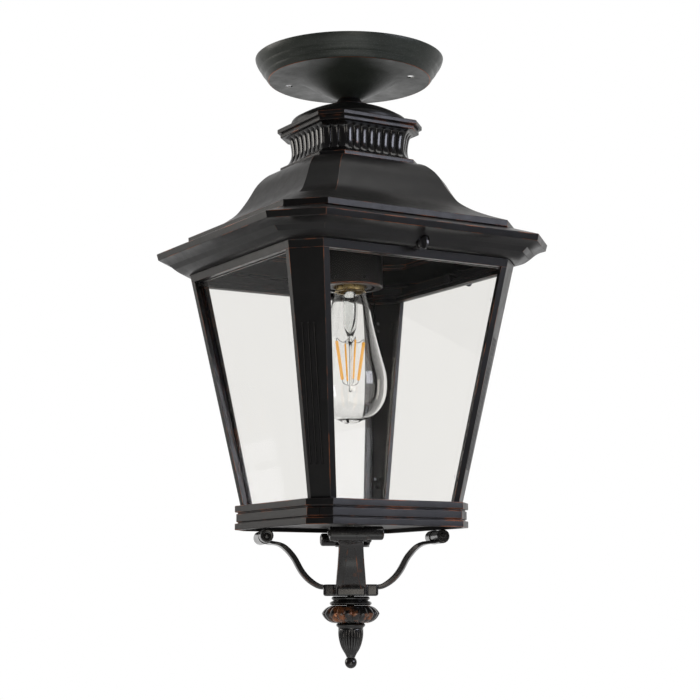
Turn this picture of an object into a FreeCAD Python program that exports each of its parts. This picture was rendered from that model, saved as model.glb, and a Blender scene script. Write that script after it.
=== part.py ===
import FreeCAD, Part
import math
import os

# Porch ceiling lantern, millimetres.
# Frame: origin at the centre of the ceiling plane (the canopy rim), +Z up, everything below z = 0.
# The side panes face -Y (front), +Y (rear), -X (left) and +X (right).
# Depths are measured down from the ceiling plane and are positive in the sheet.

os.makedirs("parts", exist_ok=True)
doc = FreeCAD.newDocument("porch_lantern")
V = FreeCAD.Vector

# ---------------------------------------------------------------- sheet
DIMS = [
    # canopy
    ("rim_rad", 84.0), ("band_two_rad", 79.6), ("band_three_rad", 75.7), ("face_rad", 72.2),
    ("band_two_dep", 8.6), ("band_three_dep", 14.0), ("face_dep", 19.2), ("canopy_thk", 1.2),
    ("cone_rad", 43.0), ("tip_rad", 11.5), ("tip_dep", 36.2), ("fix_pcd", 112.0), ("fix_rad", 3.4),
    ("fix_turn", 45.0),
    # stem
    ("nipple_rad", 5.0), ("nipple_bore", 3.2), ("nipple_top", 29.0), ("nipple_bot", 80.0),
    ("collar_top", 36.4), ("collar_bot", 44.0), ("collar_top_rad", 9.8), ("collar_bot_rad", 19.2),
    # cap
    ("dome_rad", 52.2), ("cap_top", 62.1), ("cap_half", 53.1), ("cap_long", 36.7),
    ("fillet_half", 50.9), ("fillet_long", 35.1), ("cap_step", 66.2), ("cap_bot", 70.3),
    ("neck_bot", 97.4), ("plinth_half", 51.0), ("plinth_long", 35.0), ("plinth_bot", 100.9),
    # roof and cornice
    ("step_half", 115.2), ("step_long", 88.6), ("step_top", 158.0), ("step_bot", 163.6),
    ("eave_half", 139.0), ("eave_long", 103.7), ("eave_top", 172.7), ("eave_bot", 178.4),
    ("cornice_bot", 191.2), ("sheet_thk", 1.8), ("lip_half", 112.5), ("lip_long", 91.6),
    ("lip_top", 183.5), ("boss_rad", 4.2), ("thumb_dep", 189.0), ("thumb_side", 3.4), ("thumb_wide", 10.8),
    # cage
    ("head_half", 111.9), ("head_long", 91.0), ("head_bot", 196.6), ("head_thk", 6.0),
    ("flange_thk", 1.6), ("flange_top", 183.3), ("foot_half", 74.6), ("foot_long", 62.8),
    ("strip_wid", 5.6), ("strip_dep", 4.2), ("post_thk", 1.6),
    ("glass_thk", 3.0), ("glass_gap", 0.3),
    ("band_half", 79.7), ("band_long", 63.4), ("band_top", 397.1), ("band_bot", 418.3),
    ("lip_ht", 6.0), ("band_inset", 1.6), ("band_wall", 3.2), ("plate_dep", 414.8), ("plate_thk", 1.5),
    # lamp
    ("cup_rad", 28.6), ("cup_bot", 207.3), ("cup_top", 152.0), ("bulb_rad", 32.0), ("bulb_bot", 324.6),
    # foot ornament
    ("rod_rad", 3.0), ("rod_top", 404.0), ("rod_bot", 494.0), ("hub_top", 465.6), ("hub_bot", 475.4),
    ("hub_rad", 17.0), ("lug_reach", 23.5), ("arm_wide", 25.6), ("arm_narrow", 20.4), ("arm_thk", 4.2),
    ("scroll_rad", 6.9), ("scroll_reach", 75.5), ("scroll_wide", 32.0), ("eye_wide", 13.0), ("eye_rad", 6.6),
    ("spider_turn", -30.0),
    ("melon_rad", 24.9), ("melon_top", 482.6), ("melon_bot", 498.4),
]
sheet = doc.addObject("Spreadsheet::Sheet", "sheet")
for i, (name, value) in enumerate(DIMS):
    sheet.set("A%d" % (i + 1), name)
    sheet.set("B%d" % (i + 1), str(value))
    sheet.setAlias("B%d" % (i + 1), name)
doc.recompute()
S = {name: float(sheet.get(name)) for name, _ in DIMS}


def value_of(text):
    """Value of a sheet expression: terms joined by + or -, each a number or a name, with factors."""
    total, sign, term = 0.0, 1.0, ""
    tokens = []
    for ch in text.replace(" ", ""):
        if ch in "+-" and term:
            tokens.append((sign, term))
            sign, term = (1.0 if ch == "+" else -1.0), ""
        elif ch == "-" and not term:
            sign = -sign
        else:
            term += ch
    tokens.append((sign, term))
    for sg, t in tokens:
        val, op = None, "*"
        cur = ""
        for ch in t + "*":
            if ch in "*/":
                num = S[cur] if cur in S else float(cur)
                val = num if val is None else (val * num if op == "*" else val / num)
                op, cur = ch, ""
            else:
                cur += ch
        total += sg * val
    return total


def bind(text):
    """Sheet expression in the document's own syntax."""
    out, word = "", ""
    for ch in text + " ":
        if ch.isalnum() or ch in "_.":
            word += ch
        else:
            if word:
                out += ("sheet." + word) if word in S else word
                word = ""
            out += ch
    return out.strip()


# ---------------------------------------------------------------- helpers
LEAVES = []


def leaf(obj, label):
    obj.Label = label
    LEAVES.append(obj)
    return obj


def plane(body, role):
    for f in body.Origin.OriginFeatures:
        if f.Role == role:
            return f
    raise RuntimeError(role)


def new_sketch(body, name, role, lift="0"):
    sk = body.newObject("Sketcher::SketchObject", name)
    sk.AttachmentSupport = [(plane(body, role), "")]
    sk.MapMode = "FlatFace"
    if lift != "0":
        sk.AttachmentOffset = FreeCAD.Placement(V(0, 0, value_of(lift)), FreeCAD.Rotation())
        sk.setExpression("AttachmentOffset.Base.z", bind(lift))
    return sk


def outline(sk, pts, arcs=None):
    """Closed outline through pts, each a pair of sheet expressions; arcs = {edge: (radius, side)}."""
    arcs = arcs or {}
    n = len(pts)
    xy = [(value_of(a), value_of(b)) for a, b in pts]
    ids = []
    for i in range(n):
        a, b = V(xy[i][0], xy[i][1], 0), V(xy[(i + 1) % n][0], xy[(i + 1) % n][1], 0)
        if i in arcs:
            rad, side = value_of(arcs[i][0]), arcs[i][1]
            mid = (a + b) * 0.5
            d = b - a
            ln = d.Length
            nrm = V(-d.y / ln, d.x / ln, 0)
            off = math.sqrt(max(rad * rad - ln * ln / 4, 0))
            c = mid + nrm * (off * side)
            out = (mid - c)
            out = out * (rad / out.Length) if out.Length > 1e-9 else nrm * (-side * rad)
            m = c + out
            ccw = (m.x - a.x) * (b.y - m.y) - (m.y - a.y) * (b.x - m.x) > 0
            g = sk.addGeometry(Part.Arc(a, m, b) if ccw else Part.Arc(b, m, a), False)
            ids.append((g, 1, 2) if ccw else (g, 2, 1))
        else:
            g = sk.addGeometry(Part.LineSegment(a, b), False)
            ids.append((g, 1, 2))
    import Sketcher
    for i in range(n):
        g, s, e = ids[i]
        g2, s2, e2 = ids[(i + 1) % n]
        sk.addConstraint(Sketcher.Constraint("Coincident", g, e, g2, s2))
    k = len(sk.Constraints)
    for i in range(n):
        g, s, e = ids[i]
        for axis, val, text in (("X", xy[i][0], pts[i][0]), ("Y", xy[i][1], pts[i][1])):
            if abs(val) < 1e-9:
                sk.addConstraint(Sketcher.Constraint("PointOnObject", g, s, -2 if axis == "X" else -1))
                k += 1
            else:
                if val > 0:
                    sk.addConstraint(Sketcher.Constraint("Distance" + axis, -1, 1, g, s, val))
                    ex = bind(text)
                else:
                    sk.addConstraint(Sketcher.Constraint("Distance" + axis, g, s, -1, 1, -val))
                    ex = "-(" + bind(text) + ")"
                sk.setExpression("Constraints[%d]" % k, ex)
                k += 1
        if i in arcs:
            sk.addConstraint(Sketcher.Constraint("Radius", g, value_of(arcs[i][0])))
            sk.setExpression("Constraints[%d]" % k, bind(arcs[i][0]))
            k += 1
    return sk


def turned(label, pts, arcs=None):
    """Body turned about Z from a closed profile; pts are (radius, depth) expressions."""
    body = doc.addObject("PartDesign::Body", label)
    sk = new_sketch(body, label + "_profile", "XZ_Plane")
    outline(sk, [(r, neg(d)) for r, d in pts], arcs)
    rev = body.newObject("PartDesign::Revolution", label + "_turn")
    rev.Profile = sk
    rev.ReferenceAxis = (sk, ["V_Axis"])
    rev.Angle = 360
    return body


def spun(label, pts, arcs=None):
    """The same as turned, as a plain revolution of a free sketch, for profiles that close on the axis with arcs."""
    sk = doc.addObject("Sketcher::SketchObject", label + "_profile")
    sk.Placement = FreeCAD.Placement(V(0, 0, 0), FreeCAD.Rotation(V(1, 0, 0), 90))
    outline(sk, [(r, neg(d)) for r, d in pts], arcs)
    rev = doc.addObject("Part::Revolution", label)
    rev.Source = sk
    rev.Axis = V(0, 0, 1)
    rev.Base = V(0, 0, 0)
    rev.Angle = 360
    rev.Solid = True
    return rev


def neg(text):
    """Minus a sheet expression made of terms."""
    t = text.replace(" ", "")
    out, start = "", True
    if t[0] not in "+-":
        t = "+" + t
    for ch in t:
        out += {"+": "-", "-": "+"}.get(ch, ch)
    return out[1:] if out[0] == "+" else out


def circles(sk, items):
    """Circles at (x, y, radius) expressions."""
    import Sketcher
    for cx, cy, rr in items:
        g = sk.addGeometry(Part.Circle(V(value_of(cx), value_of(cy), 0), V(0, 0, 1), value_of(rr)), False)
        k = len(sk.Constraints)
        sk.addConstraint(Sketcher.Constraint("Radius", g, value_of(rr)))
        sk.setExpression("Constraints[%d]" % k, bind(rr))
        for axis, text in (("X", cx), ("Y", cy)):
            val = value_of(text)
            k = len(sk.Constraints)
            if abs(val) < 1e-9:
                sk.addConstraint(Sketcher.Constraint("PointOnObject", g, 3, -2 if axis == "X" else -1))
            elif val > 0:
                sk.addConstraint(Sketcher.Constraint("Distance" + axis, -1, 1, g, 3, val))
                sk.setExpression("Constraints[%d]" % k, bind(text))
            else:
                sk.addConstraint(Sketcher.Constraint("Distance" + axis, g, 3, -1, 1, -val))
                sk.setExpression("Constraints[%d]" % k, "-(" + bind(text) + ")")


def oct_pts(half, long_):
    n = neg
    return [(half, n(long_)), (half, long_), (long_, half), (n(long_), half),
            (n(half), long_), (n(half), n(long_)), (n(long_), n(half)), (long_, n(half))]


def oct_pad(body, name, half, long_, top, bot):
    """Octagon pad from depth top down to depth bot."""
    sk = new_sketch(body, name + "_sketch", "XY_Plane", neg(top))
    outline(sk, oct_pts(half, long_))
    f = body.newObject("PartDesign::Pad", name)
    f.Profile = sk
    f.Reversed = True
    f.Length = value_of(bot) - value_of(top)
    f.setExpression("Length", bind(bot) + " - (" + bind(top) + ")")
    return f


def oct_cut(body, name, half, long_, top, bot):
    sk = new_sketch(body, name + "_sketch", "XY_Plane", neg(top))
    outline(sk, oct_pts(half, long_))
    f = body.newObject("PartDesign::Pocket", name)
    f.Profile = sk
    f.Reversed = False
    f.Length = value_of(bot) - value_of(top)
    f.setExpression("Length", bind(bot) + " - (" + bind(top) + ")")
    return f


def hole_cut(body, name, items, top, bot):
    """Round holes from depth top down to depth bot."""
    sk = new_sketch(body, name + "_sketch", "XY_Plane", neg(top))
    circles(sk, items)
    f = body.newObject("PartDesign::Pocket", name)
    f.Profile = sk
    f.Reversed = False
    f.Length = value_of(bot) - value_of(top)
    f.setExpression("Length", bind(bot) + " - (" + bind(top) + ")")
    return f


def tube(label, outer, inner, top, bot):
    """Round tube or ring between two depths."""
    a = doc.addObject("Part::Cylinder", label + "_outer")
    b = doc.addObject("Part::Cylinder", label + "_bore")
    for o, r, extra in ((a, outer, 0.0), (b, inner, 2.0)):
        o.Radius = value_of(r)
        o.setExpression("Radius", bind(r))
        o.Height = value_of(bot) - value_of(top) + extra
        o.setExpression("Height", bind(bot) + " - (" + bind(top) + ") + %g" % extra)
        o.Placement = FreeCAD.Placement(V(0, 0, -value_of(bot) - extra / 2), FreeCAD.Rotation())
        o.setExpression("Placement.Base.z", "-(" + bind(bot) + ") - %g" % (extra / 2))
    c = doc.addObject("Part::Cut", label)
    c.Base, c.Tool = a, b
    return c


def hexnut(label, flat, bore, top, bot):
    a = doc.addObject("Part::Prism", label + "_hex")
    a.Polygon = 6
    a.Circumradius = flat / math.sqrt(3)
    a.Height = value_of(bot) - value_of(top)
    a.setExpression("Height", bind(bot) + " - (" + bind(top) + ")")
    a.Placement = FreeCAD.Placement(V(0, 0, -value_of(bot)), FreeCAD.Rotation())
    a.setExpression("Placement.Base.z", "-(" + bind(bot) + ")")
    b = doc.addObject("Part::Cylinder", label + "_bore")
    b.Radius = value_of(bore)
    b.setExpression("Radius", bind(bore))
    b.Height = value_of(bot) - value_of(top) + 2
    b.Placement = FreeCAD.Placement(V(0, 0, -value_of(bot) - 1), FreeCAD.Rotation())
    b.setExpression("Placement.Base.z", "-(" + bind(bot) + ") - 1")
    c = doc.addObject("Part::Cut", label)
    c.Base, c.Tool = a, b
    return c


def feature(label, shape):
    f = doc.addObject("Part::Feature", label)
    f.Shape = shape
    f.Placement = shape.Placement
    return f


def ogee(half, diag):
    """Eight-sided moulded solid. half and diag are lists of (distance, depth) from top to bottom:
    the distance of the four long faces and of the four corner faces from the axis. Each facet is its own
    profile drawn straight along, and the solid is what the four drawn prisms share."""
    def prism(pts, turn):
        right = [V(r, 0, -d) for r, d in pts]
        left = [V(-r, 0, -d) for r, d in reversed(pts)]

        def run(chain):
            if len(chain) == 2:
                return [Part.LineSegment(chain[0], chain[1]).toShape()]
            c = Part.BSplineCurve()
            c.interpolate(chain)
            return [c.toShape()]
        edges = []
        for chain in split(pts):
            edges += run([V(r, 0, -d) for r, d in chain])
        edges.append(Part.LineSegment(right[-1], left[0]).toShape())
        for chain in reversed(split(pts)):
            edges += run([V(-r, 0, -d) for r, d in reversed(chain)])
        edges.append(Part.LineSegment(left[-1], right[0]).toShape())
        face = Part.Face(Part.Wire(edges))
        big = 2.6 * max(r for r, _ in pts)
        solid = face.extrude(V(0, big, 0))
        solid.translate(V(0, -big / 2, 0))
        solid.rotate(V(0, 0, 0), V(0, 0, 1), turn)
        return solid

    def split(pts):
        # a None entry in the list breaks the profile into separate runs that share that corner
        return pts_runs[id(pts)]
    pts_runs = {}

    def clean(pts):
        runs, flat, cur = [], [], []
        for p in pts:
            if p is None:
                runs.append(cur)
                cur = [cur[-1]]
            else:
                cur.append(p)
                flat.append(p)
        runs.append(cur)
        pts_runs[id(flat)] = [r for r in runs if len(r) > 1]
        return flat
    h, g = clean(half), clean(diag)
    out = prism(h, 0)
    out = out.common(prism(h, 90))
    out = out.common(prism(g, 45))
    out = out.common(prism(g, 135))
    return out


def diag_of(half, leg):
    """Corner-face profile from the long-face profile; leg(depth) is how far the corner is cut back."""
    return [None if p is None else ((2 * p[0] - leg(p[1])) / math.sqrt(2), p[1]) for p in half]


def lerp(x, a, b, fa, fb):
    t = min(1.0, max(0.0, (x - a) / (b - a)))
    return fa + (fb - fa) * t


def oct_prism(half, long_, top, bot):
    pts = [(half, -long_), (half, long_), (long_, half), (-long_, half),
           (-half, long_), (-half, -long_), (-long_, -half), (long_, -half)]
    w = Part.makePolygon([V(x, y, -top) for x, y in pts + pts[:1]])
    return Part.Face(w).extrude(V(0, 0, top - bot))


# ---------------------------------------------------------------- ceiling canopy
canopy = turned("ceiling_canopy", [
    ("rim_rad", "0"), ("band_two_rad", "band_two_dep"), ("band_three_rad", "band_three_dep"),
    ("face_rad", "face_dep"), ("cone_rad", "face_dep"), ("tip_rad", "tip_dep"), ("nipple_rad+0.2", "tip_dep"),
    ("nipple_rad+0.2", "tip_dep-1.2*canopy_thk"), ("tip_rad-0.6", "tip_dep-1.2*canopy_thk"),
    ("cone_rad-0.6", "face_dep-canopy_thk"), ("face_rad-1.5", "face_dep-canopy_thk"),
    ("band_three_rad-1.5", "band_three_dep-0.4"), ("band_two_rad-1.5", "band_two_dep-0.4"),
    ("rim_rad-1.5", "0")],
    {0: ("17", -1), 1: ("11", -1), 2: ("11", -1)})
fixx = "fix_pcd*0.353553"
hole_cut(canopy, "fixing_holes", [(fixx, neg(fixx), "fix_rad"), (neg(fixx), fixx, "fix_rad")], "face_dep-4", "face_dep+2")
leaf(canopy, "ceiling_canopy")

leaf(tube("stem_nipple", "nipple_rad", "nipple_bore", "nipple_top", "nipple_bot"), "stem_nipple")
leaf(tube("canopy_washer", "9.5", "nipple_rad+0.1", "33.5", "tip_dep-1.2*canopy_thk"), "canopy_washer")
leaf(hexnut("canopy_locknut", 14.0, "nipple_rad+0.02", "30.0", "33.5"), "canopy_locknut")

collar = turned("stem_collar", [
    ("collar_top_rad", "collar_top"), ("collar_bot_rad", "collar_bot-1.2"), ("collar_bot_rad", "collar_bot"),
    ("nipple_rad+0.1", "collar_bot"), ("nipple_rad+0.1", "collar_top")], {0: ("14", 1)})
leaf(collar, "stem_collar")

dome = spun("cap_dome", [
    ("collar_bot_rad+0.6", "collar_bot"), ("49", "56.0"), ("dome_rad", "60.2"), ("dome_rad", "cap_top"),
    ("dome_rad-2", "cap_top"), ("47.4", "57.6"), ("collar_bot_rad", "collar_bot+1.6"),
    ("nipple_rad+0.1", "collar_bot+1.6"), ("nipple_rad+0.1", "collar_bot")],
    {0: ("95", -1), 1: ("5", -1), 5: ("93", 1)})
leaf(dome, "cap_dome")

# crown cap: fascia, quirk and second fillet, with a round clearance inside
crown = doc.addObject("PartDesign::Body", "crown_cap")
oct_pad(crown, "crown_fascia", "cap_half", "cap_long", "cap_top", "cap_step")
oct_pad(crown, "crown_fillet", "fillet_half", "fillet_long", "cap_step-0.5", "cap_bot")
hole_cut(crown, "crown_bore", [("0", "0", "30")], "cap_top+1.8", "cap_bot+1")
hole_cut(crown, "crown_nipple_bore", [("0", "0", "nipple_rad+0.1")], "cap_top-1", "cap_top+3")
leaf(crown, "crown_cap")
leaf(tube("cap_washer", "13", "nipple_rad+0.1", "cap_top+1.8", "cap_top+3.4"), "cap_washer")
leaf(hexnut("cap_locknut", 16.0, "nipple_rad+0.02", "cap_top+3.4", "cap_top+7.9"), "cap_locknut")

# fluted neck: hollow scotia, octagonal
neck_half = [(47.2, S["cap_bot"]), (45.7, 72.6), (44.4, 77.5), (43.8, 83.5), (43.9, 88.5), (44.8, 92.6), (46.4, 95.6), (48.2, S["neck_bot"])]
neck_in = [(a - 2.0, d) for a, d in neck_half]
neck_leg = lambda d: 15.0
inner_leg = lambda d: 14.4
neck_shape = ogee(neck_half, diag_of(neck_half, neck_leg)).cut(ogee(neck_in, diag_of(neck_in, inner_leg)))
leaf(feature("fluted_neck", neck_shape), "fluted_neck")

plinth = doc.addObject("PartDesign::Body", "neck_plinth")
oct_pad(plinth, "plinth_plate", "plinth_half", "plinth_long", "neck_bot", "plinth_bot")
hole_cut(plinth, "plinth_bore", [("0", "0", "36")], "neck_bot-1", "plinth_bot+1")
leaf(plinth, "neck_plinth")

# ogee roof: one moulded shell with a shallow vertical step at its foot
roof_half = [(50.6, S["plinth_bot"]), (57.9, 103.3), (63.2, 107.7), (67.2, 112.8), (70.6, 119.4), (74.1, 126.6),
             (77.9, 133.2), (81.7, 138.7), (86.4, 143.0), (91.3, 146.6), (97.6, 150.2), (103.6, 153.2),
             (109.7, 155.8), (S["step_half"], S["step_top"]), None, (S["step_half"] - 0.3, S["step_bot"])]
roof_leg = lambda a: lerp(a, 50.6, S["step_half"], 16.0, S["step_half"] - S["step_long"])
roof_diag = [None if p is None else ((2 * p[0] - roof_leg(p[0])) / math.sqrt(2), p[1]) for p in roof_half]
t = S["sheet_thk"]


def inset(pts, t):
    """Profile moved in by the sheet's thickness, square to its own slope."""
    run = [p for p in pts if p is not None]
    out = []
    for i, (r, d) in enumerate(run):
        r0, d0 = run[max(i - 1, 0)]
        r1, d1 = run[min(i + 1, len(run) - 1)]
        ln = math.hypot(r1 - r0, d1 - d0)
        out.append((r - t * (d1 - d0) / ln, d + t * (r1 - r0) / ln))
    return out


def roof_inner(pts):
    run = inset([p for p in pts if p is not None][:-1], t)
    run[-1] = (run[-1][0] - 0.6, run[-1][1] + 0.1)
    foot = pts[-1][0] - t
    return [(run[0][0] - 3.0, S["plinth_bot"] - 0.02), None] + run + [None, (foot, run[-1][1] + 0.6), None, (foot, S["step_bot"] + 0.02)]


roof_shape = ogee(roof_half, roof_diag).cut(ogee(roof_inner(roof_half), roof_inner(roof_diag)))
crown_hole = Part.makeCylinder(36, 8, V(0, 0, -S["plinth_bot"] - 6))
roof_shape = roof_shape.cut(crown_hole)
leaf(feature("ogee_roof", roof_shape), "ogee_roof")

# cornice: sloped top, square fascia, cyma underside and an upright inner lip with three screw bosses
e_leg = S["eave_half"] - S["eave_long"]
l_leg = S["lip_half"] - S["lip_long"]
corn_half = [(S["step_half"] - 2.2, S["step_bot"]), (S["eave_half"], S["eave_top"]), None,
             (S["eave_half"] - 1.4, S["eave_bot"]), None, (132.8, 180.0), (129.4, 182.0), (125.7, 185.3), (121.9, 188.3),
             (118.2, 190.4), (S["lip_half"] + 1.9, S["cornice_bot"])]
c_leg = lambda a: lerp(a, S["lip_half"], S["eave_half"], l_leg, e_leg)
corn_diag = [None if p is None else ((2 * p[0] - c_leg(p[0])) / math.sqrt(2), p[1]) for p in corn_half]
void_half = [(S["step_half"] - 4.6, S["step_bot"] - 0.02), (S["step_half"] - 4.6, 165.4), None, (136.6, 174.0), None, (135.8, 176.9), None,
             (131.8, 178.2), (128.0, 180.4), (124.3, 183.7), (120.6, 186.6), (117.6, 188.2), (S["lip_half"] + 2.0, 188.9), None,
             (S["lip_half"] + 2.0, 189.0)]
void_half[1:2] = [None, void_half[1]]
void_diag = [None if p is None else ((2 * p[0] - c_leg(p[0])) / math.sqrt(2) + (0.25 if p[0] > 120 else 0.0), p[1]) for p in void_half]
cornice = ogee(corn_half, corn_diag)
cornice = cornice.cut(ogee(void_half, void_diag))
cornice = cornice.cut(oct_prism(S["lip_half"], S["lip_long"], 188.0, S["cornice_bot"] + 1))
lip = oct_prism(S["lip_half"] + 1.9, S["lip_long"] + 0.8, S["lip_top"], 190.2)
lip = lip.cut(oct_prism(S["lip_half"], S["lip_long"], S["lip_top"] - 1, 191.5))
cornice = cornice.fuse(lip)
# the three clamping screws: direction out of the face and sideways place along it
thumbs = {"front": (V(0, -1, 0), V(-S["thumb_side"], 0, 0)), "rear": (V(0, 1, 0), V(S["thumb_side"], 0, 0)),
          "right": (V(1, 0, 0), V(0, 0, 0))}
solid_half = ogee(corn_half, corn_diag)
for d, off in thumbs.values():
    # a cast pad fills the hollow behind the moulding, and a spot face clears the turning head
    pad = Part.makeCylinder(9.0, 17.0, d * S["lip_half"] + off + V(0, 0, -S["thumb_dep"]), d).common(solid_half)
    boss = Part.makeCylinder(S["boss_rad"], 7.5, d * S["lip_half"] + off + V(0, 0, -S["thumb_dep"]), d)
    cornice = cornice.fuse(pad).fuse(boss)
for d, off in thumbs.values():
    cornice = cornice.cut(Part.makeCylinder(6.3, 30.0, d * (S["lip_half"] + 8.0) + off + V(0, 0, -S["thumb_dep"]), d))
    cornice = cornice.cut(Part.makeCylinder(2.55, 14.0, d * (S["lip_half"] - 2) + off + V(0, 0, -S["thumb_dep"]), d))
cornice = cornice.removeSplitter()
leaf(feature("cornice", cornice), "cornice")

# thumb screws: plain-drawn M5 shank, collar and an upright spade head
for side, (d, off) in thumbs.items():
    tip = d * (S["lip_half"] - 0.25) + off + V(0, 0, -S["thumb_dep"])
    shank = Part.makeCylinder(2.48, 11.6, tip, d)
    neck = Part.makeCylinder(3.6, 2.2, tip + d * 8.6, d)
    wide, deep, thick = S["thumb_wide"], 8.2, 2.6
    spade = Part.makeBox(thick, deep, wide, V(-thick / 2, 0, -wide / 2))
    spade = spade.makeFillet(3.4, [e for e in spade.Edges if abs(e.Length - thick) < 1e-6])
    spade = spade.makeFillet(0.5, [e for e in spade.Edges if e.Length > thick + 0.1 and abs(e.BoundBox.XMax - e.BoundBox.XMin) < 1e-6])
    spade.rotate(V(0, 0, 0), V(0, 0, 1), {"front": 180.0, "rear": 0.0, "right": -90.0}[side])
    spade.translate(tip + d * 10.4)
    leaf(feature("thumb_screw_" + side, shank.fuse(neck).fuse(spade).removeSplitter()), "thumb_screw_" + side)

# ---------------------------------------------------------------- lampholder inside the roof
bridge = doc.addObject("PartDesign::Body", "socket_bridge")
bsk = new_sketch(bridge, "bridge_strap", "XY_Plane", "-150.2")
outline(bsk, [("-88", "-9"), ("88", "-9"), ("88", "9"), ("-88", "9")])
bpad = bridge.newObject("PartDesign::Pad", "bridge_plate")
bpad.Profile = bsk
bpad.Length = 1.8
hole_cut(bridge, "bridge_bore", [("0", "0", "5.3"), ("82", "0", "1.95"), ("-82", "0", "1.95")], "147", "152")
leaf(bridge, "socket_bridge")

cup = turned("socket_cup", [
    ("5.2", "cup_top-1.8"), ("cup_rad-6", "cup_top-1.8"), ("cup_rad", "cup_top+6"), ("cup_rad", "cup_bot-1"), ("cup_rad-1", "cup_bot"),
    ("22.5", "cup_bot"), ("22.5", "cup_bot-1.5"), ("cup_rad-1.4", "cup_bot-1.5"), ("cup_rad-1.4", "cup_top+7"), ("cup_rad-7", "cup_top"),
    ("5.2", "cup_top")], {1: ("9", -1)})
leaf(cup, "socket_cup")
leaf(tube("socket_stem", "5.0", "3.2", "138.0", "166.0"), "socket_stem")
leaf(hexnut("socket_locknut", 14.0, "5.02", "143.9", "148.4"), "socket_locknut")
lampbody = turned("lampholder", [
    ("5.1", "154.5"), ("15.5", "154.5"), ("19.6", "158.5"), ("19.6", "cup_bot-1.0"), ("15.3", "cup_bot-1.0"), ("15.3", "180.5"),
    ("6.0", "180.5"), ("6.0", "167"), ("5.1", "167")])
leaf(lampbody, "lampholder")
leaf(tube("screw_shell", "15.2", "14.7", "182.0", "205.6"), "screw_shell")
leaf(tube("centre_contact", "4.6", "1.6", "180.6", "183.3"), "centre_contact")
# two small screw heads on the side of the cup
cs = []
for a in (-146.4, -95.0):
    ux, uy = math.cos(math.radians(a)), math.sin(math.radians(a))
    cs.append(Part.makeCylinder(1.2, 0.8, V(S["cup_rad"] * ux, S["cup_rad"] * uy, -201.8), V(ux, uy, 0)))
leaf(feature("cup_screws", Part.makeCompound(cs)), "cup_screws")
# strap feet: bent brackets that carry the strap down to the cornice's flat inner rim
feet = []
foot_line = [(78.0, 150.3), (90.5, 150.3), (102.6, 156.9), (102.6, 161.8), (112.8, 161.8), (112.8, S["step_bot"]),
             (100.8, S["step_bot"]), (100.8, 158.0), (90.0, 152.1), (78.0, 152.1)]
for sgn in (-1, 1):
    pts = [V(sgn * x, -9, -d) for x, d in foot_line]
    foot = Part.Face(Part.makePolygon(pts + pts[:1])).extrude(V(0, 18, 0))
    feet.append(foot.cut(Part.makeCylinder(1.95, 6.0, V(sgn * 82.0, 0, -155.0))))
leaf(feature("bridge_feet", Part.makeCompound(feet)), "bridge_feet")
scr = []
for x in (-82.0, 82.0):
    sh = Part.makeCylinder(1.9, 4.8, V(x, 0, -152.2))
    hd = Part.makeCylinder(3.6, 2.0, V(x, 0, -148.4))
    scr.append(sh.fuse(hd).removeSplitter())
strap = Part.makeCompound(scr)
leaf(feature("bridge_screws", strap), "bridge_screws")

# ---------------------------------------------------------------- bulb
bz = S["bulb_bot"]
bulb_pts = [("13.2", "211.0"), ("14.6", "214.5"), ("16.4", "221"), ("19.4", "236"), ("23.6", "254"), ("28.4", "272"),
            ("31.4", "284"), ("bulb_rad", "293.5"), ("30.6", "304"), ("26.0", "313.6"), ("18.4", "320.6"), ("9.6", "323.9"), ("0", "bulb_bot")]


def bulb_wall(thick):
    pts = [(value_of(a), value_of(b)) for a, b in bulb_pts]
    out = inset([(r, d) for r, d in pts], thick) if thick else pts
    out = [(max(r, 0.0), d) for r, d in out]
    if thick:
        out[0] = (out[0][0], 211.0)
        out[-1] = (0.0, bz - thick)
    c = Part.BSplineCurve()
    c.interpolate([V(r, 0, -d) for r, d in out])
    return c.toShape(), out


co, po = bulb_wall(0)
ci, pi_ = bulb_wall(1.0)
top_e = Part.LineSegment(V(po[0][0], 0, -po[0][1]), V(pi_[0][0], 0, -pi_[0][1])).toShape()
bot_e = Part.LineSegment(V(0, 0, -po[-1][1]), V(0, 0, -pi_[-1][1])).toShape()
prof = Part.Face(Part.Wire([co, bot_e, ci, top_e]))
glass_shape = prof.revolve(V(0, 0, 0), V(0, 0, 1), 360)
if glass_shape.Volume < 0:
    glass_shape.reverse()
leaf(feature("bulb_glass", glass_shape), "bulb_glass")
bcap = turned("bulb_cap", [("12.6", "186.6"), ("12.9", "188.6"), ("12.9", "209.6"), ("13.9", "210.9"), ("11.4", "210.9"), ("11.4", "189.4"),
                           ("7.0", "187.4"), ("7.0", "186.0")])
leaf(bcap, "bulb_cap")
bins = turned("bulb_insulator", [("4.8", "184.6"), ("6.9", "185.4"), ("6.9", "188.6"), ("0", "188.6"), ("0", "186.0"), ("4.7", "186.0")])
leaf(bins, "bulb_insulator")
bcon = turned("bulb_contact", [("0", "183.6"), ("3.4", "183.9"), ("4.6", "184.9"), ("4.6", "185.8"), ("0", "185.8")])
leaf(bcon, "bulb_contact")
bstem = turned("bulb_stem", [("4.6", "211.2"), ("6.8", "217"), ("6.2", "232"), ("4.8", "243"), ("3.4", "249.6"), ("1.6", "251.6"),
                             ("1.6", "300"), ("0", "300"), ("0", "248"), ("2.0", "243"), ("5.0", "231"), ("5.6", "217.4"), ("3.6", "211.2")])
leaf(bstem, "bulb_stem")
sticks, wires = [], []
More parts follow.
